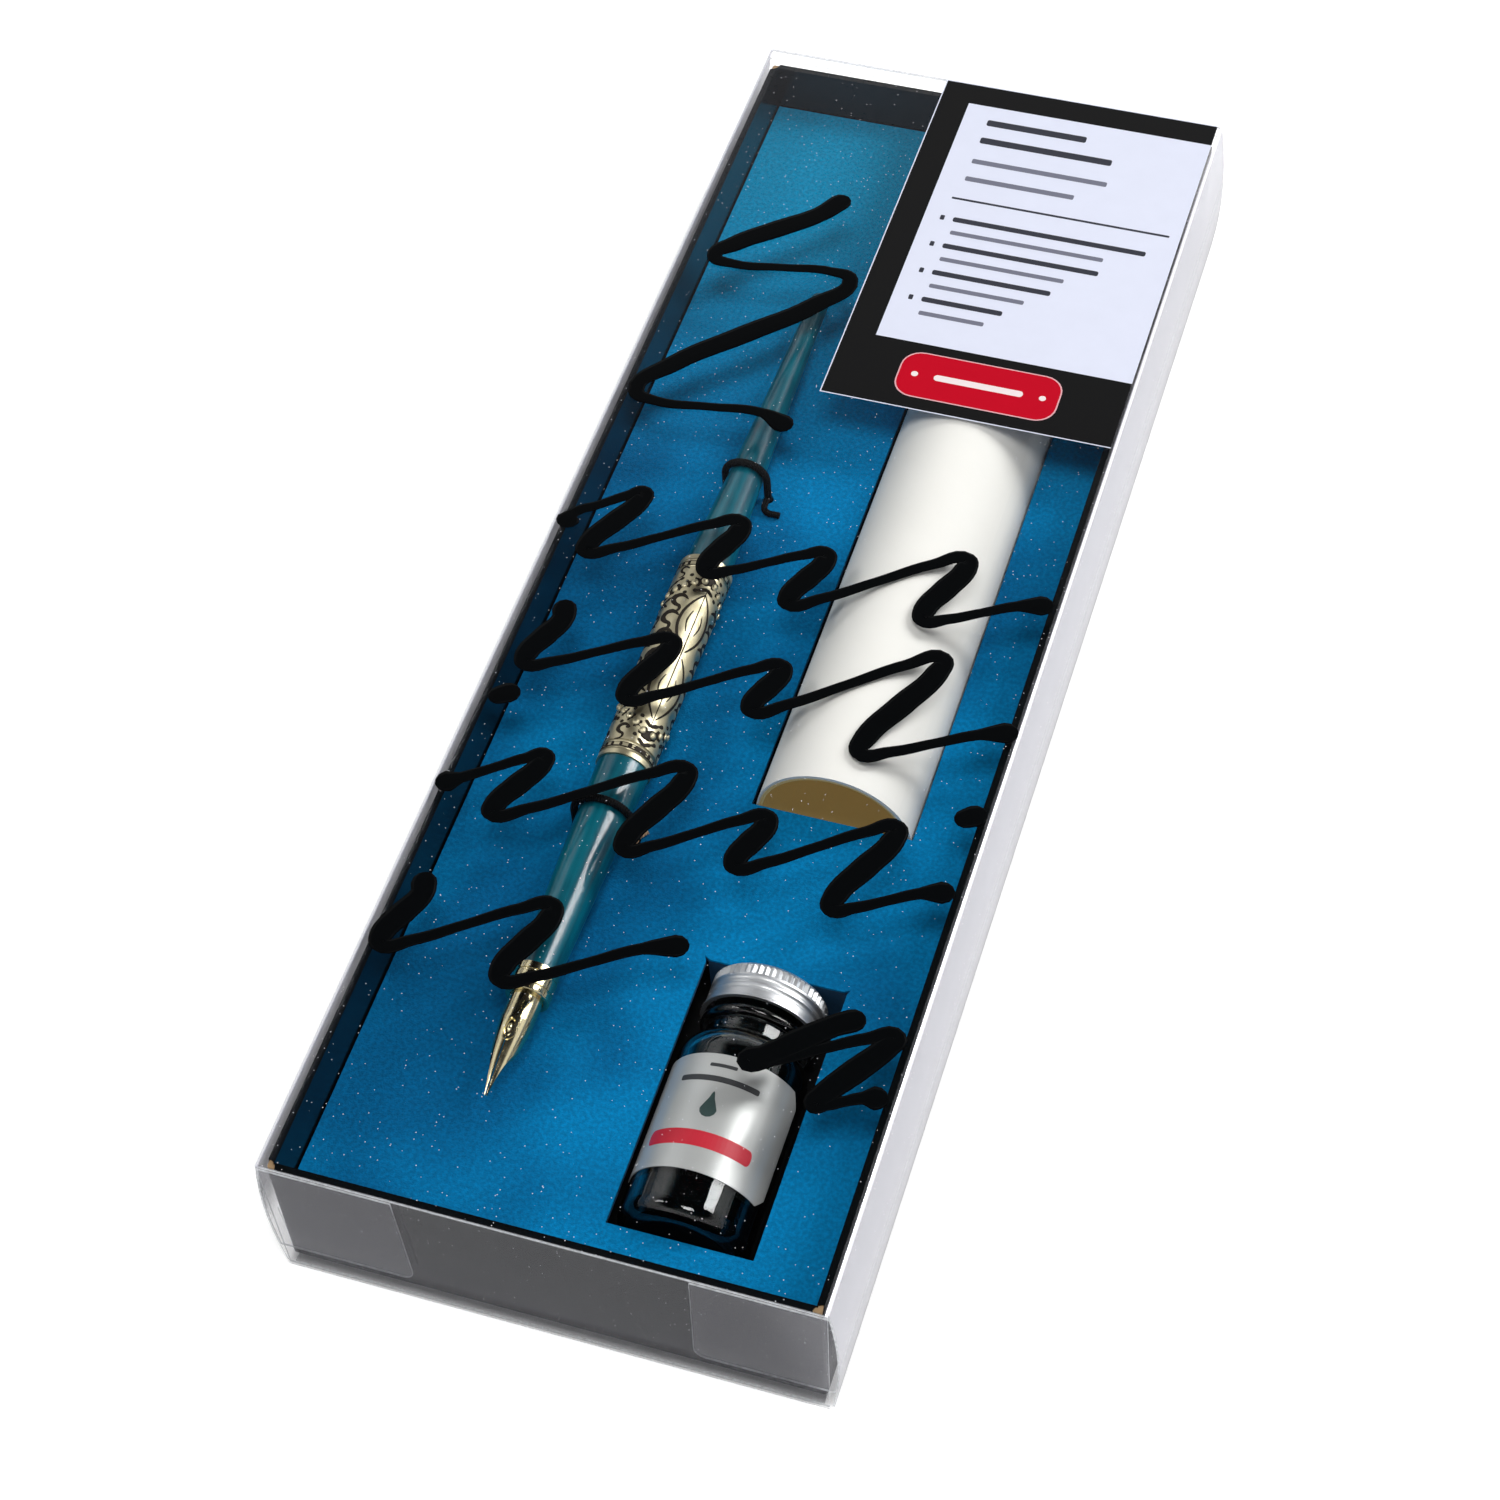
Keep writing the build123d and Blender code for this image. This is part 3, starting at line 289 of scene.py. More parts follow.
def stroke_mesh(points, height, fineness):
    """A pen stroke of changing width, as a flat swelling ribbon. Lengths in millimetres."""
    curve = bpy.data.curves.new("stroke", "CURVE")
    curve.dimensions = "3D"
    curve.bevel_depth = MM
    curve.bevel_resolution = 2
    curve.resolution_u = fineness
    curve.use_fill_caps = True
    spline = curve.splines.new("BEZIER")
    line = stroke_points(points)
    spline.bezier_points.add(len(line) - 1)
    for knot, (x, y, half) in zip(spline.bezier_points, line):
        knot.co = (x * MM, y * MM, 0)
        knot.radius = half
        knot.handle_left_type = "AUTO"
        knot.handle_right_type = "AUTO"
    holder = bpy.data.objects.new("stroke", curve)
    bpy.context.scene.collection.objects.link(holder)
    bpy.context.view_layer.update()
    mesh = bpy.data.meshes.new_from_object(holder.evaluated_get(bpy.context.evaluated_depsgraph_get()))
    bpy.data.objects.remove(holder)
    bpy.data.curves.remove(curve)
    widest = max(half for _, _, half in points)
    mesh.transform(Matrix.Diagonal((1, 1, height / 2 / widest, 1)))
    mesh.transform(Matrix.Translation((0, 0, height / 2 * MM)))
    return mesh


def add_mesh(bm, mesh):
    """Adds a mesh to a bmesh and discards it."""
    bm.from_mesh(mesh)
    bpy.data.meshes.remove(mesh)


def wrap_round(bm, axis_x, axis_z, radius):
    """Bends a flat layout round a cylinder that lies along Y; all in millimetres."""
    for vert in bm.verts:
        turn = vert.co.x / (radius * MM)
        reach = radius * MM + vert.co.z
        vert.co.x = axis_x * MM + reach * math.sin(turn)
        vert.co.z = axis_z * MM + reach * math.cos(turn)


# ------------------------------------------------------------------ settings
def tint(label, help_text, colour):
    """A colour setting."""
    return bpy.props.FloatVectorProperty(
        name=label, description=help_text, subtype="COLOR", size=3, min=0, max=1, default=colour)


def share(label, help_text, value):
    """A setting from 0 to 1."""
    return bpy.props.FloatProperty(
        name=label, description=help_text, subtype="FACTOR", min=0, max=1, default=value)


def length(label, help_text, value):
    """A length setting, given in millimetres."""
    return bpy.props.FloatProperty(
        name=label, description=help_text, subtype="DISTANCE", unit="LENGTH", min=0, default=value * MM)


class StageSettings(bpy.types.PropertyGroup):
    """Camera, lamps and floor."""
    camera_place: bpy.props.FloatVectorProperty(
        name="Camera place", description="Where the camera stands", subtype="TRANSLATION",
        size=3, default=(0.114402, -0.319912, 0.434381))
    azimuth: bpy.props.FloatProperty(
        name="Azimuth", description="Turn of the camera round the carton", subtype="ANGLE",
        default=math.radians(21.3037))
    elevation: bpy.props.FloatProperty(
        name="Elevation", description="Height of the camera above the horizon", subtype="ANGLE",
        default=math.radians(52.8681))
    roll: bpy.props.FloatProperty(
        name="Roll", description="Tilt of the camera about its own axis", subtype="ANGLE",
        default=math.radians(-4.6139))
    focal: bpy.props.FloatProperty(
        name="Focal length", description="Lens on a 36 mm sensor", subtype="DISTANCE_CAMERA",
        default=76.165)
    floor_colour: tint("Floor", "Colour of the floor", screen(246, 246, 246))
    key_power: bpy.props.FloatProperty(
        name="Key lamp", description="Power of the large lamp on the right", unit="POWER", default=11.0)
    top_power: bpy.props.FloatProperty(
        name="Top lamp", description="Power of the lamp overhead", unit="POWER", default=6.0)
    left_power: bpy.props.FloatProperty(
        name="Left lamp", description="Power of the small lamp on the left", unit="POWER", default=1.2)
    room_light: share("Room light", "Strength of the light from all round", 0.30)


class CartonSettings(bpy.types.PropertyGroup):
    """Clear carton, its print and its sticker."""
    film_colour: tint("Film", "Colour of the film's sheen", (0.93, 0.93, 1.0))
    film_roughness: share("Film roughness", "How blurred the film's reflections are", 0.07)
    haze: share("Film haze", "Extra sheen where the film is seen edge-on", 0.42)
    ink_colour: tint("Printed ink", "Colour of the flourishes on the window", screen(3, 4, 5))
    ink_height: length("Ink thickness", "Thickness of the printed flourishes", 0.04)
    border_colour: tint("Sticker border", "Colour of the sticker's border", screen(11, 11, 12))
    panel_colour: tint("Sticker panel", "Colour of the sticker's pale panel", screen(222, 226, 243))
    badge_colour: tint("Sticker badge", "Colour of the badge", screen(190, 2, 32))


class TraySettings(bpy.types.PropertyGroup):
    """Tray and platform."""
    paper_colour: tint("Tray paper", "Colour of the tray's paper", screen(6, 9, 11))
    board_colour: tint("Board", "Colour of bare board at worn corners", screen(168, 138, 100))
    flock_colour: tint("Flock", "Colour of the velvet platform", screen(0, 124, 182))
    flock_shade: tint("Flock shade", "Colour of the flock where it is brushed the other way",
                      screen(0, 92, 142))
    # Painted reflection: the paler, greener flock at the far end stands for a veil of light reflected in the
    # window there
    flock_far_veil: tint("Faded flock", "Greener colour of the flock towards the far end", screen(0, 136, 172))


class PenSettings(bpy.types.PropertyGroup):
    """Pen and its ties."""
    wood_colour: tint("Lacquer", "Colour of the lacquered wood", screen(0, 98, 114))
    wood_shade: tint("Lacquer shade", "Darker streaks in the lacquer", screen(0, 66, 82))
    brass_colour: tint("Brass", "Colour of the sleeve", screen(222, 212, 178))
    engraving_colour: tint("Engraving", "Colour of the darkened engraving", screen(26, 20, 12))
    nib_colour: tint("Nib", "Colour of the nib and ferrule", screen(228, 216, 176))
    cord_colour: tint("Ties", "Colour of the cord ties", screen(9, 9, 10))
    core_colour: tint("Tie core", "Colour of a tie's bare end", screen(214, 176, 140))


class PaperSettings(bpy.types.PropertyGroup):
    """Paper roll and booklet."""
    sheet_colour: tint("Paper", "Colour of the rolled paper", screen(243, 242, 236))
    # Painted light: the warm glow of light coming through the paper, inside the roll
    inside_painted_light: tint("Inside", "Warm tone inside the roll", screen(196, 174, 118))
    booklet_colour: tint("Booklet", "Colour of the booklet", screen(232, 230, 220))


class BottleSettings(bpy.types.PropertyGroup):
    """Ink bottle."""
    # Painted shade: a grey tint on clear glass that darkens what is seen through it
    glass_shade_tint: tint("Glass", "Colour of the glass", (0.45, 0.50, 0.50))
    ink_colour: tint("Ink", "Colour of the ink", screen(3, 14, 16))
    cap_colour: tint("Cap", "Colour of the cap", screen(228, 230, 232))
    label_colour: tint("Label", "Colour of the bottle's label", screen(198, 200, 198))
    band_colour: tint("Band", "Colour of the band on the label", screen(205, 30, 52))
    drop_colour: tint("Drop", "Colour of the printed drop", screen(46, 70, 68))


SETTINGS = (
    ("stage", StageSettings), ("carton", CartonSettings), ("tray", TraySettings),
    ("pen", PenSettings), ("paper", PaperSettings), ("bottle", BottleSettings),
)


def settings(name):
    """One of the scene's groups of settings."""
    return getattr(bpy.context.scene, "writing_set_" + name)


# ------------------------------------------------------------------ stage
def lamp(name, place, aim, power, wide, tall):
    """A rectangular area lamp turned towards a point."""
    light = bpy.data.lights.new(name, "AREA")
    light.shape = "RECTANGLE"
    light.size = wide
    light.size_y = tall
    light.energy = power
    holder = bpy.data.objects.new(name, light)
    bpy.context.scene.collection.objects.link(holder)
    holder.location = place
    holder.rotation_euler = (Vector(aim) - Vector(place)).to_track_quat("-Z", "Y").to_euler()


def seen_directly(tree):
    """1 for rays from the camera, in a reflection or through glass."""
    path = put(tree, "LightPath")
    both = maths(tree, "MAXIMUM", path.outputs["Is Camera Ray"], path.outputs["Is Glossy Ray"])
    return maths(tree, "MAXIMUM", both, path.outputs["Is Transmission Ray"])


class WRITINGSET_OT_stage(bpy.types.Operator):
    """Camera, lamps, room light and floor"""
    bl_idname = "writing_set.stage"
    bl_label = "Stage"
    SKY_RISE = (0.60, 0.78)             # rise of a direction over which the reflected room turns dark
    # The floor's glow is weaker near the carton and weakest below it: painted shade round and under the
    # carton
    GLOW_REACH = (0.5, 1.3)             # metres from the carton over which the floor's glow grows
    GLOW = (0.45, 0.8)                  # beside the carton, and far off
    GLOW_UNDER = 0.1                    # share of the glow left below the carton
    CARTON_SIDE = (0.0425, 0.0450)      # metres from the middle over which the carton's side ends
    CARTON_END = (0.1250, 0.1275)

    def execute(self, context):
        choice = settings("stage")
        self.camera(choice)
        lamp("key_lamp", (0.80, 0.62, 0.72), (0, 0, 0.02), choice.key_power, 0.32, 0.9)
        lamp("top_lamp", (0.12, -0.35, 1.25), (0, 0, 0.02), choice.top_power, 0.4, 0.4)
        lamp("left_lamp", (-0.75, -0.10, 0.80), (0, 0, 0.02), choice.left_power, 0.25, 0.25)
        self.room(choice)
        self.floor(choice)
        return {"FINISHED"}

    def camera(self, choice):
        """Camera that stands, turns and rolls as its settings say."""
        turn, tilt, roll = choice.azimuth, choice.elevation, choice.roll
        right = Vector((math.cos(turn), math.sin(turn), 0))
        level = math.cos(tilt)
        back = Vector((math.sin(turn) * level, -math.cos(turn) * level, math.sin(tilt)))
        up = back.cross(right)
        across = right * math.cos(roll) + up * math.sin(roll)
        upright = up * math.cos(roll) - right * math.sin(roll)
        lens = bpy.data.cameras.new("camera")
        lens.sensor_width = 36
        lens.lens = choice.focal
        lens.clip_start = 0.01
        lens.clip_end = 20
        holder = bpy.data.objects.new("camera", lens)
        bpy.context.scene.collection.objects.link(holder)
        facing = Matrix((across, upright, back)).transposed().to_4x4()
        holder.matrix_world = Matrix.Translation(choice.camera_place) @ facing
        bpy.context.scene.camera = holder

    def room(self, choice):
        """White for the camera, dark high up in reflections, and a soft light from all round."""
        world = bpy.data.worlds.new("room")
        bpy.context.scene.world = world
        world.use_nodes = True
        tree = world.node_tree
        shader = tree.nodes["Background"]
        way = put(tree, "TexCoord").outputs["Generated"]
        rise = put(tree, "SeparateXYZ", {0: way}).outputs[2]
        shown = ramped(tree, rise, *self.SKY_RISE, 1.0, 0.012)
        shown = maths(tree, "MAXIMUM", shown, put(tree, "LightPath").outputs["Is Camera Ray"])
        strength = put(tree, "Mix", data_type="FLOAT")
        feed(strength.inputs[0], seen_directly(tree))
        feed(strength.inputs[2], choice.room_light)
        feed(strength.inputs[3], shown)
        feed(shader.inputs["Color"], (1.0, 1.0, 1.0, 1.0))
        feed(shader.inputs["Strength"], strength.outputs[0])

    def floor(self, choice):
        """Pale floor, painted darker in reflections. It glows for the camera only, the glow weaker near the
        carton and least below it as painted shade.
        """
        finish, tree, shader = material("floor", Roughness=0.9)
        reflected = put(tree, "LightPath").outputs["Is Glossy Ray"]
        # Painted shade in reflections: the floor's colour is darker for glossy rays
        two_tone(tree, shader, reflected, choice.floor_colour, 0.7)
        shader.inputs["Specular IOR Level"].default_value = 0.0
        feed(shader.inputs["Emission Color"], (1.0, 1.0, 1.0, 1.0))
        seen = put(tree, "LightPath").outputs["Is Camera Ray"]
        x, y, _ = axes(tree)
        far_off = put(tree, "VectorMath", {0: object_place(tree)}, operation="LENGTH").outputs["Value"]
        glow = ramped(tree, far_off, *self.GLOW_REACH, *self.GLOW)
        beside = ramped(tree, maths(tree, "ABSOLUTE", x), *self.CARTON_SIDE)
        beyond = ramped(tree, maths(tree, "ABSOLUTE", y), *self.CARTON_END)
        # Painted shade: below the carton the glow is cut to a tenth
        unshaded_floor = maths(tree, "MAXIMUM", maths(tree, "MAXIMUM", beside, beyond), self.GLOW_UNDER)
        glow = maths(tree, "MULTIPLY", glow, unshaded_floor)
        feed(shader.inputs["Emission Strength"], maths(tree, "MULTIPLY", seen, glow))
        bm = bmesh.new()
        bmesh.ops.create_grid(bm, x_segments=1, y_segments=1, size=6)
        bmesh.ops.translate(bm, verts=bm.verts, vec=(0, 0, -0.0001))
        mesh = bpy.data.meshes.new("floor")
        bm.to_mesh(mesh)
        bm.free()
        floor = bpy.data.objects.new("floor", mesh)
        mesh.materials.append(finish)
        bpy.context.scene.collection.objects.link(floor)


# ------------------------------------------------------------------ carton
class WRITINGSET_OT_carton(bpy.types.Operator):
    """Clear film of the carton's panels, flaps and tongues"""
    bl_idname = "writing_set.carton"
    bl_label = "Clear carton"
    PANELS = ("near_end_flap", "near_dust_flap_left", "near_dust_flap_right",
              "far_end_flap", "far_dust_flap_left", "far_dust_flap_right")
    TONGUES = ("near_tuck_tongue", "far_tuck_tongue")
    # Where the painted highlight runs along the window's folds
    FOLD_HIGHLIGHT_HEIGHT = (0.0291, 0.0297)      # metres above the carton's underside
    FOLD_HIGHLIGHT_SIDE = (0.0433, 0.0438)        # metres from the middle, across
    FOLD_HIGHLIGHT_END = (0.1266, 0.1270)         # metres from the middle, along

    def execute(self, context):
        choice = settings("carton")
        film = self.film(choice)
        dress(film, "clear_sleeve", *self.PANELS, *self.TONGUES)
        edge = self.cut_edge()
        self.edged(edge, "clear_sleeve", 1, True)
        for name in self.PANELS:
            self.edged(edge, name, 1, False)
        for name in self.TONGUES:
            self.edged(edge, name, 2, False)
        return {"FINISHED"}

    def film(self, choice):
        """Clear film: mirror-like and milky seen aslant, with dust on it and a painted highlight along its
        folds.
        """
        finish, tree, shader = material("clear film", Roughness=choice.film_roughness)
        base(shader, tuple(choice.film_colour))
        edge_on = put(tree, "LayerWeight", {"Blend": 0.5}).outputs["Facing"]
        mirror = maths(tree, "MULTIPLY", maths(tree, "POWER", edge_on, 5.0), 0.96)
        veil = ramped(tree, edge_on, 0.63, 0.73, 0.0, choice.haze)
        dust = grouped(tree, specks_group(), Scale=1000.0, Size=0.075, Share=0.34).outputs[0]
        fold_highlight = self.folds(tree)
        sheen = maths(tree, "ADD", maths(tree, "ADD", mirror, veil), 0.012, clamp=True)
        # The fold mask paints a highlight: it makes the film opaque and milky white along its folds, on top
        # of the dust specks
        marks = maths(tree, "MAXIMUM", dust, maths(tree, "MULTIPLY", fold_highlight, 0.9))
        feed(shader.inputs["Alpha"], maths(tree, "MAXIMUM", sheen, marks))
        specks = maths(tree, "MAXIMUM", dust, fold_highlight)
        haze_dust_and_highlight = maths(tree, "MAXIMUM", maths(tree, "MULTIPLY", veil, 1.3), specks)
        feed(shader.inputs["Metallic"], maths(tree, "SUBTRACT", 1.0, haze_dust_and_highlight, clamp=True))
        return finish

    def folds(self, tree):
        """Mask of the painted highlight: 1 along the window's folds to the side walls and the end flaps."""
        x, y, z = axes(tree)
        high_up = ramped(tree, z, *self.FOLD_HIGHLIGHT_HEIGHT)
        side = ramped(tree, maths(tree, "ABSOLUTE", x), *self.FOLD_HIGHLIGHT_SIDE)
        end = ramped(tree, maths(tree, "ABSOLUTE", y), *self.FOLD_HIGHLIGHT_END, 0.0, 0.4)
        return maths(tree, "MULTIPLY", high_up, maths(tree, "MAXIMUM", side, end))

    def cut_edge(self):
        """Cut edge of the film, which gathers light."""
        finish, tree, shader = material("film edge", Roughness=0.3)
        nick = noise(tree, 1200.0)
        base(shader, screen(240, 243, 246))
        feed(shader.inputs["Alpha"], ramped(tree, nick, 0.3, 0.7, 0.45, 0.7))
        return finish

    def edged(self, finish, name, axis, facing):
        """Gives a panel's cut faces their own finish: those that face along an axis, or all others."""
        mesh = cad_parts[name].data
        mesh.materials.append(finish)
        for face in mesh.polygons:
            if (abs(face.normal[axis]) > 0.7) == facing:
                face.material_index = 1


WINDOW_EDGE = 43.6          # print stops here, at the window's folds
WAVES = (
    # pen lines on the window: row's middle, lean, whether it runs down the window, turning points
    (6.0, 0.8, False, ((-42.0, 4.0), (-36.5, 13.0), (-30.0, -2.0), (-17.0, 11.0), (-9.5, -1.0), (1.5, 8.0),
                       (8.0, -4.0), (20.5, 13.0), (28.5, -1.5), (40.0, 6.5))),
    (-22.0, 0.8, False, ((-41.0, -15.0), (-33.5, -27.5), (-20.5, -16.5), (-13.0, -30.0), (-1.0, -17.0),
                         (5.0, -27.0), (17.0, -8.5), (27.0, -30.5), (41.0, -20.5))),
    (-50.5, 0.8, False, ((-40.0, -53.5), (-33.0, -44.5), (-27.0, -57.5), (-13.0, -41.0), (-3.5, -58.5),
                         (6.5, -46.5), (13.0, -57.0), (24.0, -43.0), (32.5, -60.5), (42.0, -53.0))),
    (-78.0, 0.8, False, ((-42.0, -73.0), (-34.5, -85.5), (-22.5, -71.5), (-13.5, -86.5), (0.0, -73.5))),
    (-87.0, 0.8, False, ((27.0, -79.0), (22.5, -90.0), (35.0, -80.0), (38.0, -94.5), (43.5, -91.0))),
    (-25.0, -0.45, True, ((-87.0, -19.0), (-76.0, -37.0), (-65.0, -11.5), (-42.0, -40.0), (-29.0, -13.0))),
)
DOTS = ((40.5, -38.0), (-39.0, -34.5))


def pen_wave(level, lean, downwards, turns):
    """A leaning wave, thick where the pen pulls and thin where it pushes, with a ball at each end."""
    line = []
    for (x, y), (next_x, next_y) in zip(turns, turns[1:]):
        for part in range(4):
            share = part / 4
            rise = y + (next_y - y) * (1 - math.cos(math.pi * share)) / 2
            press = (0.75 if next_y < y else -0.5) * math.sin(math.pi * share)
            line.append((x + (next_x - x) * share + lean * (rise - level), rise, 1.45 + press))
    line[0] = (*line[0][:2], 2.1)
    last_x, last_y = turns[-1]
    line.append((last_x + lean * (last_y - level), last_y, 2.1))
    if downwards:
        line = [(y, -x, half) for x, y, half in line]
    return [(min(max(x, half - WINDOW_EDGE), WINDOW_EDGE - half), y, half) for x, y, half in line]


class WRITINGSET_OT_flourishes(bpy.types.Operator):
    """Black pen flourishes printed on the window"""
    bl_idname = "writing_set.flourishes"
    bl_label = "Window flourishes"

    def execute(self, context):
        choice = settings("carton")
        finish, tree, shader = material("printed ink", Roughness=0.4, Specular_IOR_Level=0.03)
        tone = noise(tree, 900.0)
        two_tone(tree, shader, tone, choice.ink_colour, 1.6)
        height = choice.ink_height / MM
        bm = bmesh.new()
        for wave in WAVES:
            add_mesh(bm, stroke_mesh(pen_wave(*wave), height, 6))
        for x, y in DOTS:
            add_mesh(bm, stroke_mesh(((x - 0.6, y - 0.4, 1.9), (x + 0.6, y + 0.4, 2.1)), height, 6))
        bmesh.ops.translate(bm, verts=bm.verts, vec=(0, 0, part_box("clear_sleeve")[1].z))
        made("window_flourishes", bm, finish, "carton")
        return {"FINISHED"}


class WRITINGSET_OT_sticker(bpy.types.Operator):
    """Sticker on the window: black border, pale panel with plain bars, and a red badge"""
    bl_idname = "writing_set.sticker"
    bl_label = "Window sticker"
    LAYER = 0.02                # thickness of each printed layer

    def execute(self, context):
        choice = settings("carton")
        low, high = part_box("window_label")
        left, right, near, far = low.x / MM, high.x / MM, low.y / MM, high.y / MM
        self.base = low.z / MM
        sheet = self.printed("sticker_sheet", self.paper("sticker edge", choice.panel_colour, 0.5), 0,
                             [((left, right), (near, far), 0.05)])
        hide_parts("window_label")
        self.printed("sticker_border", self.paper("sticker border", choice.border_colour, 0.12), 1,
                     [((left + 0.22, right), (near + 0.22, far - 0.22), 0.05)])
        self.printed("sticker_panel", self.paper("sticker panel", choice.panel_colour, 0.5), 2,
                     [((right - 46.3, right), (far - 67.9, far - 5.4), 0.05)])
        badge = ((3.0, 32.0), (46.2, 57.0), 3.6)
        self.printed("sticker_badge_rim", self.paper("sticker badge rim", screen(226, 170, 176), 0.5), 2,
                     [badge])
        inner = ((3.25, 31.75), (46.45, 56.75), 3.4)
        self.printed("sticker_badge", self.paper("sticker badge", choice.badge_colour, 0.1), 3, [inner])
        self.printed("sticker_badge_marks", self.paper("sticker badge marks", screen(240, 226, 226), 0.5), 4,
                     [((5.4, 6.6), (51.0, 52.2), 0.55), ((28.4, 29.6), (51.0, 52.2), 0.55),
                      ((9.5, 25.5), (50.9, 52.3), 0.65)])
        self.bars(right)
        return {"FINISHED"}

    def printed(self, name, finish, layer, patches):
        """One ink or sheet of the sticker: its patches as X span, Y span and corner."""
        low = self.base + layer * self.LAYER
        bm = bmesh.new()
        for x_span, y_span, corner in patches:
            add_slab(bm, x_span, y_span, (low, low + self.LAYER), corner)
        return made(name, bm, finish, "carton", smooth=False)

    def paper(self, name, colour, gloss):
        """Coated paper with a faint mottle."""
        return papery(name, colour, 0.95, (3000.0, 250.0), (0.00001, 0.3), Roughness=0.45,
                      Specular_IOR_Level=gloss)

    def bars(self, right):
        """Plain bars and a rule in place of words."""
        heads = [((1.5, 20.5), (116.3, 117.9), 0.4), ((1.5, 26.5), (111.4, 113.0), 0.4),
                 ((0.5, right - 2.0), (95.8, 96.3), 0.1)]
        notes = [((1.5, 27.0), (105.8, 107.0), 0.3), ((1.5, 22.0), (101.0, 102.2), 0.3)]
        for index in range(4):
            y = 90.6 - 7.0 * index
            heads.append(((-0.2, 0.6), (y - 0.6, y + 0.6), 0.2))
            heads.append(((2.2, 38.0 - 7.0 * index), (y - 0.6, y + 0.6), 0.4))
            notes.append(((2.6, 31.0 - 5.5 * index), (y - 3.9, y - 2.9), 0.3))
        self.printed("sticker_bars_dark", self.paper("bars dark", screen(40, 42, 54), 0.4), 3, heads)
        self.printed("sticker_bars_light", self.paper("bars light", screen(112, 114, 130), 0.4), 3, notes)


# ------------------------------------------------------------------ tray and platform
class WRITINGSET_OT_tray(bpy.types.Operator):
    """Black tray with worn corners, and its blue flocked platform"""
    bl_idname = "writing_set.tray"
    bl_label = "Tray and platform"

    def execute(self, context):
        choice = settings("tray")
        self.wrap(choice)
        self.board(choice)
        self.card(choice)
        self.flock(choice)
        return {"FINISHED"}

    def wrap(self, choice):
        dress(papery("tray paper", choice.paper_colour, 1.5, (2600.0, 90.0), (0.00002, 0.12),
                     Roughness=0.2, Specular_IOR_Level=0.3), "tray_wrap")

    def board(self, choice):
        """Bare board at the rim's worn corners, and dark paper over the tray's floor."""
        finish, tree, shader = material("tray board", Roughness=0.9)
        _, _, z = axes(tree)
        height, cloud = grained(tree, 1800.0, 400.0)
        bare = tuple(choice.board_colour)
        fibre = blended(tree, cloud, bare, scaled(bare, 0.7))
        high_up = maths(tree, "GREATER_THAN", z, 0.02)
        base(shader, blended(tree, high_up, tuple(choice.paper_colour), fibre))
        raised(tree, shader, height, 0.00008, 0.6)
        dress(finish, "tray_board")

    def card(self, choice):
        deep = scaled(choice.flock_shade, 0.35)
        dress(papery("platform card", deep, 1.4, (2200.0, 150.0), (0.00004, 0.5), Roughness=0.8),
              "platform_board")

    def flock(self, choice):
        finish, tree, shader = material("velvet flock", Roughness=0.95, Specular_IOR_Level=0.1,
                                        Sheen_Weight=0.22, Sheen_Roughness=0.4)
        feed(shader.inputs["Sheen Tint"], opaque(screen(0, 190, 225)))
        _, y, _ = axes(tree)
        height, cloud = grained(tree, 3200.0, 24.0)
        brushed = ramped(tree, cloud, 0.38, 0.62)
        tone = blended(tree, brushed, tuple(choice.flock_shade), tuple(choice.flock_colour))
        # Painted reflection: towards the far end the flock is blended to a paler, greener colour, a veil of
        # light reflected in the window
        far_veil = ramped(tree, y, 0.02, 0.12, 0.0, 0.75)
        tone = blended(tree, far_veil, tone, tuple(choice.flock_far_veil))
        fibre = noise(tree, 1500.0)
        speckle = ramped(tree, fibre, 0.3, 0.75, 0.82, 1.18)
        lit = put(tree, "Mix", data_type="RGBA", blend_type="MULTIPLY")
        feed(lit.inputs[0], 1.0)
        feed(lit.inputs[6], tone)
        feed(lit.inputs[7], speckle)
        base(shader, lit.outputs[2])
        raised(tree, shader, height, 0.0002, 0.7)
        dress(finish, "platform_flocking")


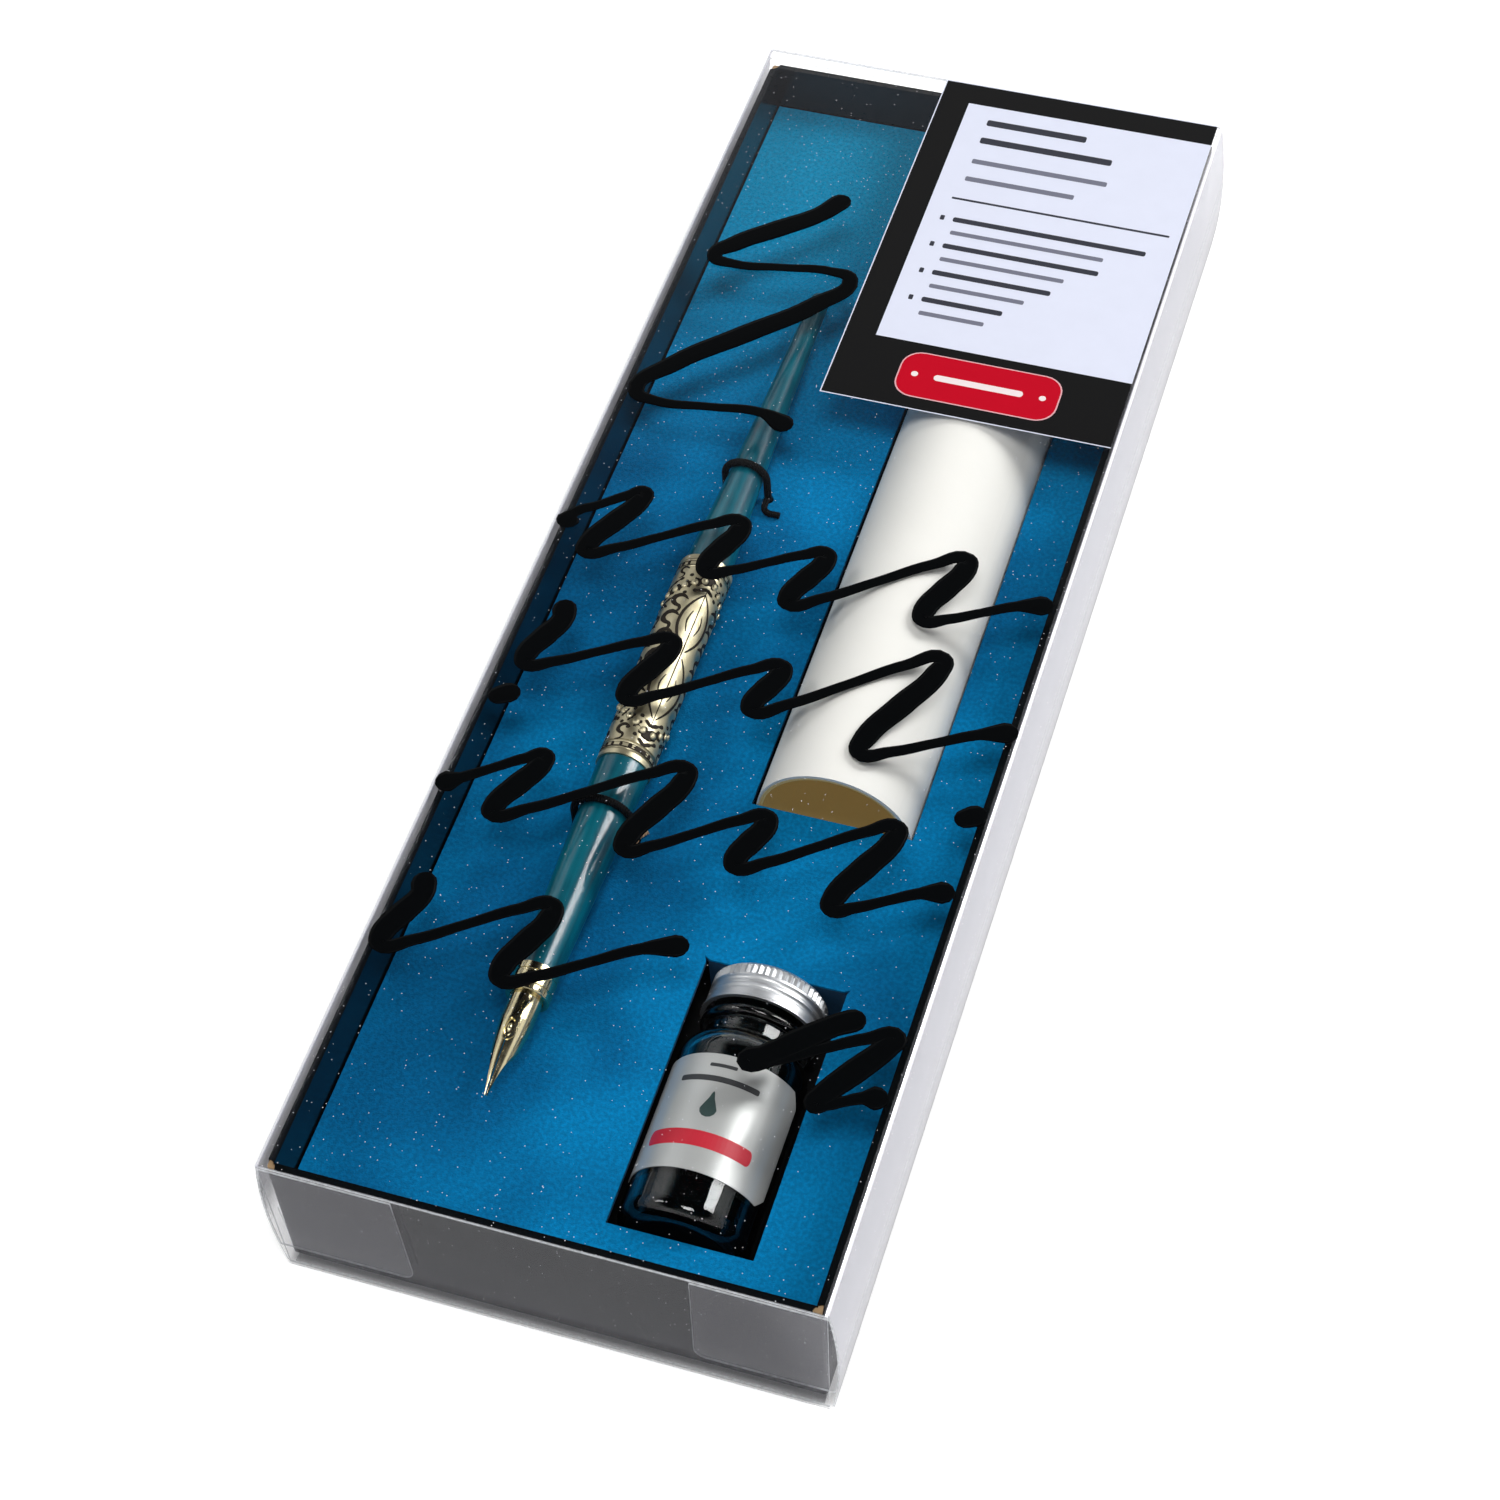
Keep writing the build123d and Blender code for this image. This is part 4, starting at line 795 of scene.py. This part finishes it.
# ------------------------------------------------------------------ pen
class WRITINGSET_OT_pen(bpy.types.Operator):
    """Lacquered wood, brass sleeve, ferrule, claw and nib"""
    bl_idname = "writing_set.pen"
    bl_label = "Pen"
    OVAL_BACK = 15.8            # millimetres from the nib's rear end to the oval's middle
    OVAL_RISE = 2.3             # millimetres above the pen's axis
    OVAL_TILT = 0.106           # radians
    OVAL_DOMES = ((0.85, 1.7, 0.24), (0.4, 0.9, 0.4))

    def execute(self, context):
        choice = settings("pen")
        self.wood(choice)
        dress(self.metal("antique brass", choice.brass_colour, 0.42), "brass_sleeve")
        gilt = self.metal("gilt metal", choice.nib_colour, 0.16)
        dress(gilt, "ferrule", "nib")
        dress(self.metal("claw steel", screen(180, 182, 186), 0.35), "nib_claw")
        self.medallion(gilt)
        return {"FINISHED"}

    def medallion(self, finish):
        """Pressed oval in the nib's breather hole: a dome with a smaller one on it."""
        sleeve_low, sleeve_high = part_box("brass_sleeve")
        nib_low, nib_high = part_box("nib")
        spot = Vector(((nib_low.x + nib_high.x) / 2, nib_high.y - self.OVAL_BACK * MM,
                       (sleeve_low.z + sleeve_high.z) / 2 + self.OVAL_RISE * MM))
        bm = bmesh.new()
        for wide, long, high in self.OVAL_DOMES:
            shape = Matrix.Diagonal((wide * MM, long * MM, high * MM, 1))
            place = Matrix.Translation(spot) @ Matrix.Rotation(self.OVAL_TILT, 4, "X") @ shape
            bmesh.ops.create_uvsphere(bm, u_segments=32, v_segments=16, radius=1, matrix=place)
        made("nib_medallion", bm, finish, "nib")

    def wood(self, choice):
        finish, tree, shader = material("teal lacquer", Roughness=0.3, Specular_IOR_Level=0.3,
                                        Coat_Weight=0.45, Coat_Roughness=0.08, Coat_IOR=1.6)
        place = object_place(tree)
        along = put(tree, "Mapping", {"Vector": place, "Scale": (900.0, 45.0, 900.0)}).outputs[0]
        streak = noise(tree, 1.0, 4.0, along)
        cloud = noise(tree, 120.0)
        streaked = maths(tree, "MULTIPLY", streak, 0.65)
        mixed = maths(tree, "ADD", streaked, maths(tree, "MULTIPLY", cloud, 0.35))
        tone = ramped(tree, mixed, 0.35, 0.65)
        base(shader, blended(tree, tone, tuple(choice.wood_shade), tuple(choice.wood_colour)))
        raised(tree, shader, streak, 0.00012, 0.35)
        dress(finish, "pen_handle_front", "pen_handle_rear")

    def metal(self, name, colour, roughness):
        """Polished metal with faint tarnish in its roughness and tone."""
        finish, tree, shader = material(name, Metallic=1.0)
        tarnish = noise(tree, 380.0, 4.0)
        two_tone(tree, shader, tarnish, colour, 0.72)
        feed(shader.inputs["Roughness"], ramped(tree, tarnish, 0.3, 0.7, roughness * 0.75, roughness * 1.35))
        return finish


class WRITINGSET_OT_engraving(bpy.types.Operator):
    """Darkened engraving and beaded chevrons on the brass sleeve"""
    bl_idname = "writing_set.engraving"
    bl_label = "Sleeve engraving"
    SEAM = math.radians(35)
    SUNK = 0.02                             # depth of the pattern in the sleeve
    CHEVRONS = ((5.0, 0.70), (38.8, -0.56))     # start from the near end, and slope

    def execute(self, context):
        choice = settings("pen")
        low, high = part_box("brass_sleeve")
        self.axis = ((low.x + high.x) / 2 / MM, (low.z + high.z) / 2 / MM)
        self.radius = (high.x - low.x) / 2 / MM
        self.near = low.y / MM
        finish, tree, shader = material("engraved recess", Roughness=0.6, Metallic=0.5)
        two_tone(tree, shader, grained(tree, 2000.0, 700.0)[1], choice.engraving_colour, 2.5)
        bm = bmesh.new()
        for side in (-1, 1):
            for line in self.lines():
                self.stroke(bm, side, line)
        self.stroke(bm, 1, ((0, 7.2, 0.08), (0, 22, 0.12), (0, 37, 0.08)))
        wrap_round(bm, *self.axis, self.radius - self.SUNK)
        made("sleeve_engraving", bm, finish, "tray")
        self.beads(bpy.data.materials["antique brass"])
        return {"FINISHED"}

    def stroke(self, bm, side, line):
        """One engraved stroke: distance round from the seam, from the near end, half-width."""
        around = self.SEAM * self.radius
        add_mesh(bm, stroke_mesh([(around + side * s, self.near + v, half) for s, v, half in line], 0.06, 4))

    def beads(self, finish):
        """Rows of beads in the chevrons' dark beds."""
        bm = bmesh.new()
        for side in (-1, 1):
            for start, slope in self.CHEVRONS:
                for index in range(9):
                    s = 1.0 + 1.55 * index
                    around = (self.SEAM * self.radius + side * s) * MM
                    along = (self.near + start + slope * s) * MM
                    shape = Matrix.Diagonal((0.62 * MM, 0.68 * MM, 0.36 * MM, 1))
                    place = Matrix.Translation((around, along, 0)) @ shape
                    bmesh.ops.create_icosphere(bm, subdivisions=2, radius=1, matrix=place)
        wrap_round(bm, *self.axis, self.radius - self.SUNK)
        made("sleeve_beads", bm, finish, "tray")

    def lines(self):
        """Half of the pattern: the strokes on one side of the seam."""
        chevrons = []
        for start, slope in self.CHEVRONS:
            for shift, half in ((-1.95, 0.36), (0, 0.95), (1.95, 0.36)):
                chevrons.append(tuple((s, start + shift + slope * s, half) for s in (0.2, 5, 9.5, 14.4)))
        commas = []
        for s, v, size in (
            (4.0, 33.0, 1.0), (7.6, 31.0, 1.1), (4.6, 29.2, 1.1), (8.4, 26.8, 1.0), (4.4, 25.2, 1.1),
            (11.6, 27.6, 1.0), (11.4, 22.6, 1.1), (7.8, 22.2, 1.2), (4.6, 20.6, 1.1), (8.6, 18.2, 1.0),
            (4.8, 16.4, 1.1), (12.0, 18.0, 1.0), (4.6, 12.6, 0.9),
            (4.4, 5.0, 0.8), (8.2, 6.4, 1.3), (12.2, 7.2, 1.8),
            (5.4, 39.9, 0.6), (9.4, 39.2, 1.1), (12.8, 37.6, 1.4),
        ):
            z = 1.25 * size
            commas.append(((s - 1.2 * z, v + 0.5 * z, 0.12), (s - 0.2 * z, v + 1.0 * z, 0.34 * z),
                           (s + 0.8 * z, v + 0.3 * z, 0.44 * z), (s + 0.3 * z, v - 0.6 * z, 0.3 * z),
                           (s - 0.5 * z, v - 1.1 * z, 0.24 * z), (s - 0.3 * z, v - 1.9 * z, 0.2 * z),
                           (s + 0.6 * z, v - 2.1 * z, 0.1)))
        leaves = [
            ((0.1, 35.6, 0.1), (1.5, 33.4, 0.22), (2.6, 30.0, 0.28), (2.2, 26.6, 0.26), (0.5, 23.4, 0.12)),
            ((0.5, 21.8, 0.12), (2.2, 19.2, 0.26), (3.0, 15.4, 0.28), (2.0, 11.6, 0.22), (0.3, 8.6, 0.1)),
            ((0.9, 31.6, 0.08), (1.3, 29.4, 0.16), (0.8, 27.2, 0.08)),
            ((1.0, 17.6, 0.08), (1.5, 15.4, 0.16), (0.9, 13.0, 0.08)),
        ]
        bands = [tuple((s, v, 0.5) for s in (0, 5, 10, 14.7)) for v in (1.9, 41.6)]
        return chevrons + commas + leaves + bands


class WRITINGSET_OT_ties(bpy.types.Operator):
    """Black cord ties round the pen"""
    bl_idname = "writing_set.ties"
    bl_label = "Pen ties"
    STUB_HEIGHT = (0.01865, 0.0007)     # metres: middle of the bare end, and its reach either way
    STUB_LENGTH = 0.003                 # metres either way from the tie's middle
    STUB_LEFT = -0.0148                 # metres, where the bare end starts

    def execute(self, context):
        choice = settings("pen")
        finish, tree, shader = material("black cord", Roughness=0.75, Specular_IOR_Level=0.15)
        place = object_place(tree)
        rib = put(tree, "TexWave", {"Vector": place, "Scale": 900.0, "Distortion": 2.0}).outputs[0]
        dark = tuple(choice.cord_colour)
        wound = blended(tree, rib, dark, scaled(dark, 2.0))
        base(shader, blended(tree, self.stub(tree), wound, tuple(choice.core_colour)))
        raised(tree, shader, rib, 0.0002, 0.8)
        dress(finish, "pen_tie_upper", "pen_tie_lower")
        return {"FINISHED"}

    def stub(self, tree):
        """1 on the bare cut end that lies across the lower tie's foot."""
        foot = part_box("pen_tie_lower")
        middle = (foot[0].y + foot[1].y) / 2
        x, y, z = axes(tree)
        height, reach = self.STUB_HEIGHT
        above = maths(tree, "ABSOLUTE", maths(tree, "SUBTRACT", z, height))
        along = maths(tree, "ABSOLUTE", maths(tree, "SUBTRACT", y, middle))
        level = maths(tree, "LESS_THAN", above, reach)
        here = maths(tree, "LESS_THAN", along, self.STUB_LENGTH)
        right = maths(tree, "GREATER_THAN", x, self.STUB_LEFT)
        return maths(tree, "MULTIPLY", maths(tree, "MULTIPLY", level, here), right)


# ------------------------------------------------------------------ paper
class WRITINGSET_OT_paper(bpy.types.Operator):
    """Roll of paper and the booklet under the tray"""
    bl_idname = "writing_set.paper"
    bl_label = "Paper roll and booklet"
    ROLL_AXIS = (0.017, 0.016)          # metres across and up
    ROLL_OUTSIDE = (0.01245, 0.0128)    # metres from the axis over which the outer face starts

    def execute(self, context):
        choice = settings("paper")
        self.roll(choice)
        self.booklet(choice)
        return {"FINISHED"}

    def roll(self, choice):
        finish, tree, shader = material("rolled paper", Roughness=0.7)
        x, _, z = axes(tree)
        across = maths(tree, "SUBTRACT", x, self.ROLL_AXIS[0])
        above = maths(tree, "SUBTRACT", z, self.ROLL_AXIS[1])
        reach = maths(tree, "SQRT", maths(tree, "ADD", maths(tree, "MULTIPLY", across, across),
                                         maths(tree, "MULTIPLY", above, above)))
        outer = ramped(tree, reach, *self.ROLL_OUTSIDE)
        height, cloud = grained(tree, 2400.0, 120.0)
        sheet = tuple(choice.sheet_colour)
        face = blended(tree, cloud, sheet, scaled(sheet, 0.95))
        # Painted light: inside the roll both the colour and a faint emission stand for the warm glow of
        # light through the paper
        base(shader, blended(tree, outer, tuple(choice.inside_painted_light), face))
        glow = blended(tree, outer, tuple(choice.inside_painted_light), (0.0, 0.0, 0.0))
        feed(shader.inputs["Emission Color"], glow)
        shader.inputs["Emission Strength"].default_value = 0.12
        raised(tree, shader, height, 0.00002, 0.35)
        dress(finish, "paper_roll")

    def booklet(self, choice):
        dress(papery("booklet paper", choice.booklet_colour, 0.92, (2400.0, 80.0), (0.00002, 0.35),
                     Roughness=0.8), "booklet_cover", "booklet_pages")
        wire, tree, shader = material("staple wire", Metallic=1.0)
        worn = noise(tree, 900.0)
        base(shader, screen(190, 190, 192))
        feed(shader.inputs["Roughness"], ramped(tree, worn, 0.3, 0.7, 0.25, 0.5))
        dress(wire, "booklet_staples")


# ------------------------------------------------------------------ ink bottle
class WRITINGSET_OT_bottle(bpy.types.Operator):
    """Ink bottle: glass, ink, cap, liner and label"""
    bl_idname = "writing_set.bottle"
    bl_label = "Ink bottle"
    LABEL_RADIUS = 10.5 + 0.12          # millimetres: the bottle's, and the label's thickness
    LABEL_TURN = math.radians(-4.0)     # the print's middle, round from straight up

    def execute(self, context):
        choice = settings("bottle")
        glass, tree, shader = material("bottle glass", Roughness=0.02, Transmission_Weight=1.0, IOR=1.5,
                                       Specular_IOR_Level=0.2)
        ripple = noise(tree, 140.0, 1.0)
        # Painted shade: the clear glass is tinted grey, which darkens the blue flock seen through it
        base(shader, tuple(choice.glass_shade_tint))
        raised(tree, shader, ripple, 0.0002, 0.15)
        dress(glass, "ink_bottle")
        ink, tree, shader = material("ink", Roughness=0.3, Specular_IOR_Level=0.0)
        depth = noise(tree, 90.0)
        two_tone(tree, shader, depth, choice.ink_colour, 1.8)
        dress(ink, "ink")
        self.cap(choice)
        self.liner()
        self.label(choice)
        self.label_print(choice)
        return {"FINISHED"}

    def cap(self, choice):
        finish, tree, shader = material("spun aluminium", Metallic=1.0)
        _, y, _ = axes(tree)
        lathe = put(tree, "CombineXYZ", {0: 0.0, 1: y, 2: 0.0}).outputs[0]
        rings = noise(tree, 6000.0, 2.0, lathe)
        two_tone(tree, shader, rings, choice.cap_colour, 0.85)
        feed(shader.inputs["Roughness"], ramped(tree, rings, 0.3, 0.7, 0.36, 0.50))
        raised(tree, shader, rings, 0.00002, 0.4)
        dress(finish, "bottle_cap")

    def liner(self):
        finish, tree, shader = material("liner foam", Roughness=0.8)
        height, cloud = grained(tree, 1800.0, 300.0)
        base(shader, blended(tree, cloud, screen(222, 222, 216), screen(206, 206, 200)))
        raised(tree, shader, height, 0.0001, 0.5)
        dress(finish, "cap_liner")

    def label(self, choice):
        dress(papery("bottle label", choice.label_colour, 0.92, (2600.0, 300.0), (0.00001, 0.4),
                     Roughness=0.38, Metallic=0.35), "bottle_label")

    def label_print(self, choice):
        """Red band, plain bars and a drop, printed on the curved label."""
        radius = self.LABEL_RADIUS
        bottle_low, bottle_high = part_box("ink_bottle")
        axis_x = (bottle_low.x + bottle_high.x) / 2 / MM
        axis_z = (bottle_low.z + bottle_high.z) / 2 / MM
        centre = self.LABEL_TURN * radius
        thick = (0.0, 0.02)
        for name, colour, build in (
            ("bottle_label_band", choice.band_colour, self.band),
            ("bottle_label_bars", screen(52, 54, 56), self.bars),
            ("bottle_label_drop", choice.drop_colour, self.drop),
        ):
            finish, tree, shader = material(name.replace("_", " "), Roughness=0.45)
            two_tone(tree, shader, grained(tree, 2600.0, 300.0)[1], colour, 0.85)
            bm = bmesh.new()
            build(bm, centre, thick)
            wrap_round(bm, axis_x, axis_z, radius)
            made(name, bm, finish, "bottle", smooth=False)

    def band(self, bm, centre, thick):
        """Band across the label's near end."""
        add_slab(bm, (centre - 9.0, centre + 9.0), (-102.6, -99.9), thick, 1.2, cells=24)

    def bars(self, bm, centre, thick):
        """Two bars at the label's far end."""
        add_slab(bm, (centre - 2.2, centre + 2.2), (-88.6, -88.0), thick, 0.2, cells=6)
        add_slab(bm, (centre - 6.6, centre + 6.6), (-91.2, -90.2), thick, 0.3, cells=16)

    def drop(self, bm, centre, thick):
        """Drop in the label's middle, as thick as the other prints."""
        points = ((0.0, 2.6, 0.08), (0.0, 1.5, 0.45), (0.0, 0.4, 0.95), (0.0, -0.5, 1.35))
        add_mesh(bm, stroke_mesh([(centre + x, -95.6 + y, half) for x, y, half in points], thick[1], 8))


# ------------------------------------------------------------------ panel and registration
OPERATORS = (
    WRITINGSET_OT_stage, WRITINGSET_OT_carton, WRITINGSET_OT_flourishes, WRITINGSET_OT_sticker,
    WRITINGSET_OT_tray, WRITINGSET_OT_pen, WRITINGSET_OT_engraving, WRITINGSET_OT_ties,
    WRITINGSET_OT_paper, WRITINGSET_OT_bottle,
)


class WRITINGSET_PT_panel(bpy.types.Panel):
    """Lists the pieces of the writing set and their settings"""
    bl_label = "Writing set"
    bl_idname = "WRITINGSET_PT_panel"
    bl_space_type = "VIEW_3D"
    bl_region_type = "UI"
    bl_category = "Writing set"

    def draw(self, context):
        for operator in OPERATORS:
            self.layout.operator(operator.bl_idname)
        for name, group in SETTINGS:
            box = self.layout.box()
            box.label(text=name.capitalize())
            for key in group.__annotations__:
                box.prop(settings(name), key)


def register():
    for _, group in SETTINGS:
        bpy.utils.register_class(group)
    for name, group in SETTINGS:
        setattr(bpy.types.Scene, "writing_set_" + name, bpy.props.PointerProperty(type=group))
    for operator in OPERATORS:
        bpy.utils.register_class(operator)
    bpy.utils.register_class(WRITINGSET_PT_panel)


def unregister():
    bpy.utils.unregister_class(WRITINGSET_PT_panel)
    for operator in reversed(OPERATORS):
        bpy.utils.unregister_class(operator)
    for name, _ in SETTINGS:
        delattr(bpy.types.Scene, "writing_set_" + name)
    for _, group in reversed(SETTINGS):
        bpy.utils.unregister_class(group)


def main():
    register()
    bpy.context.scene.view_settings.view_transform = "Standard"
    for operator in OPERATORS:
        area, call = operator.bl_idname.split(".")
        getattr(getattr(bpy.ops, area), call)()


if __name__ == "__main__":
    main()
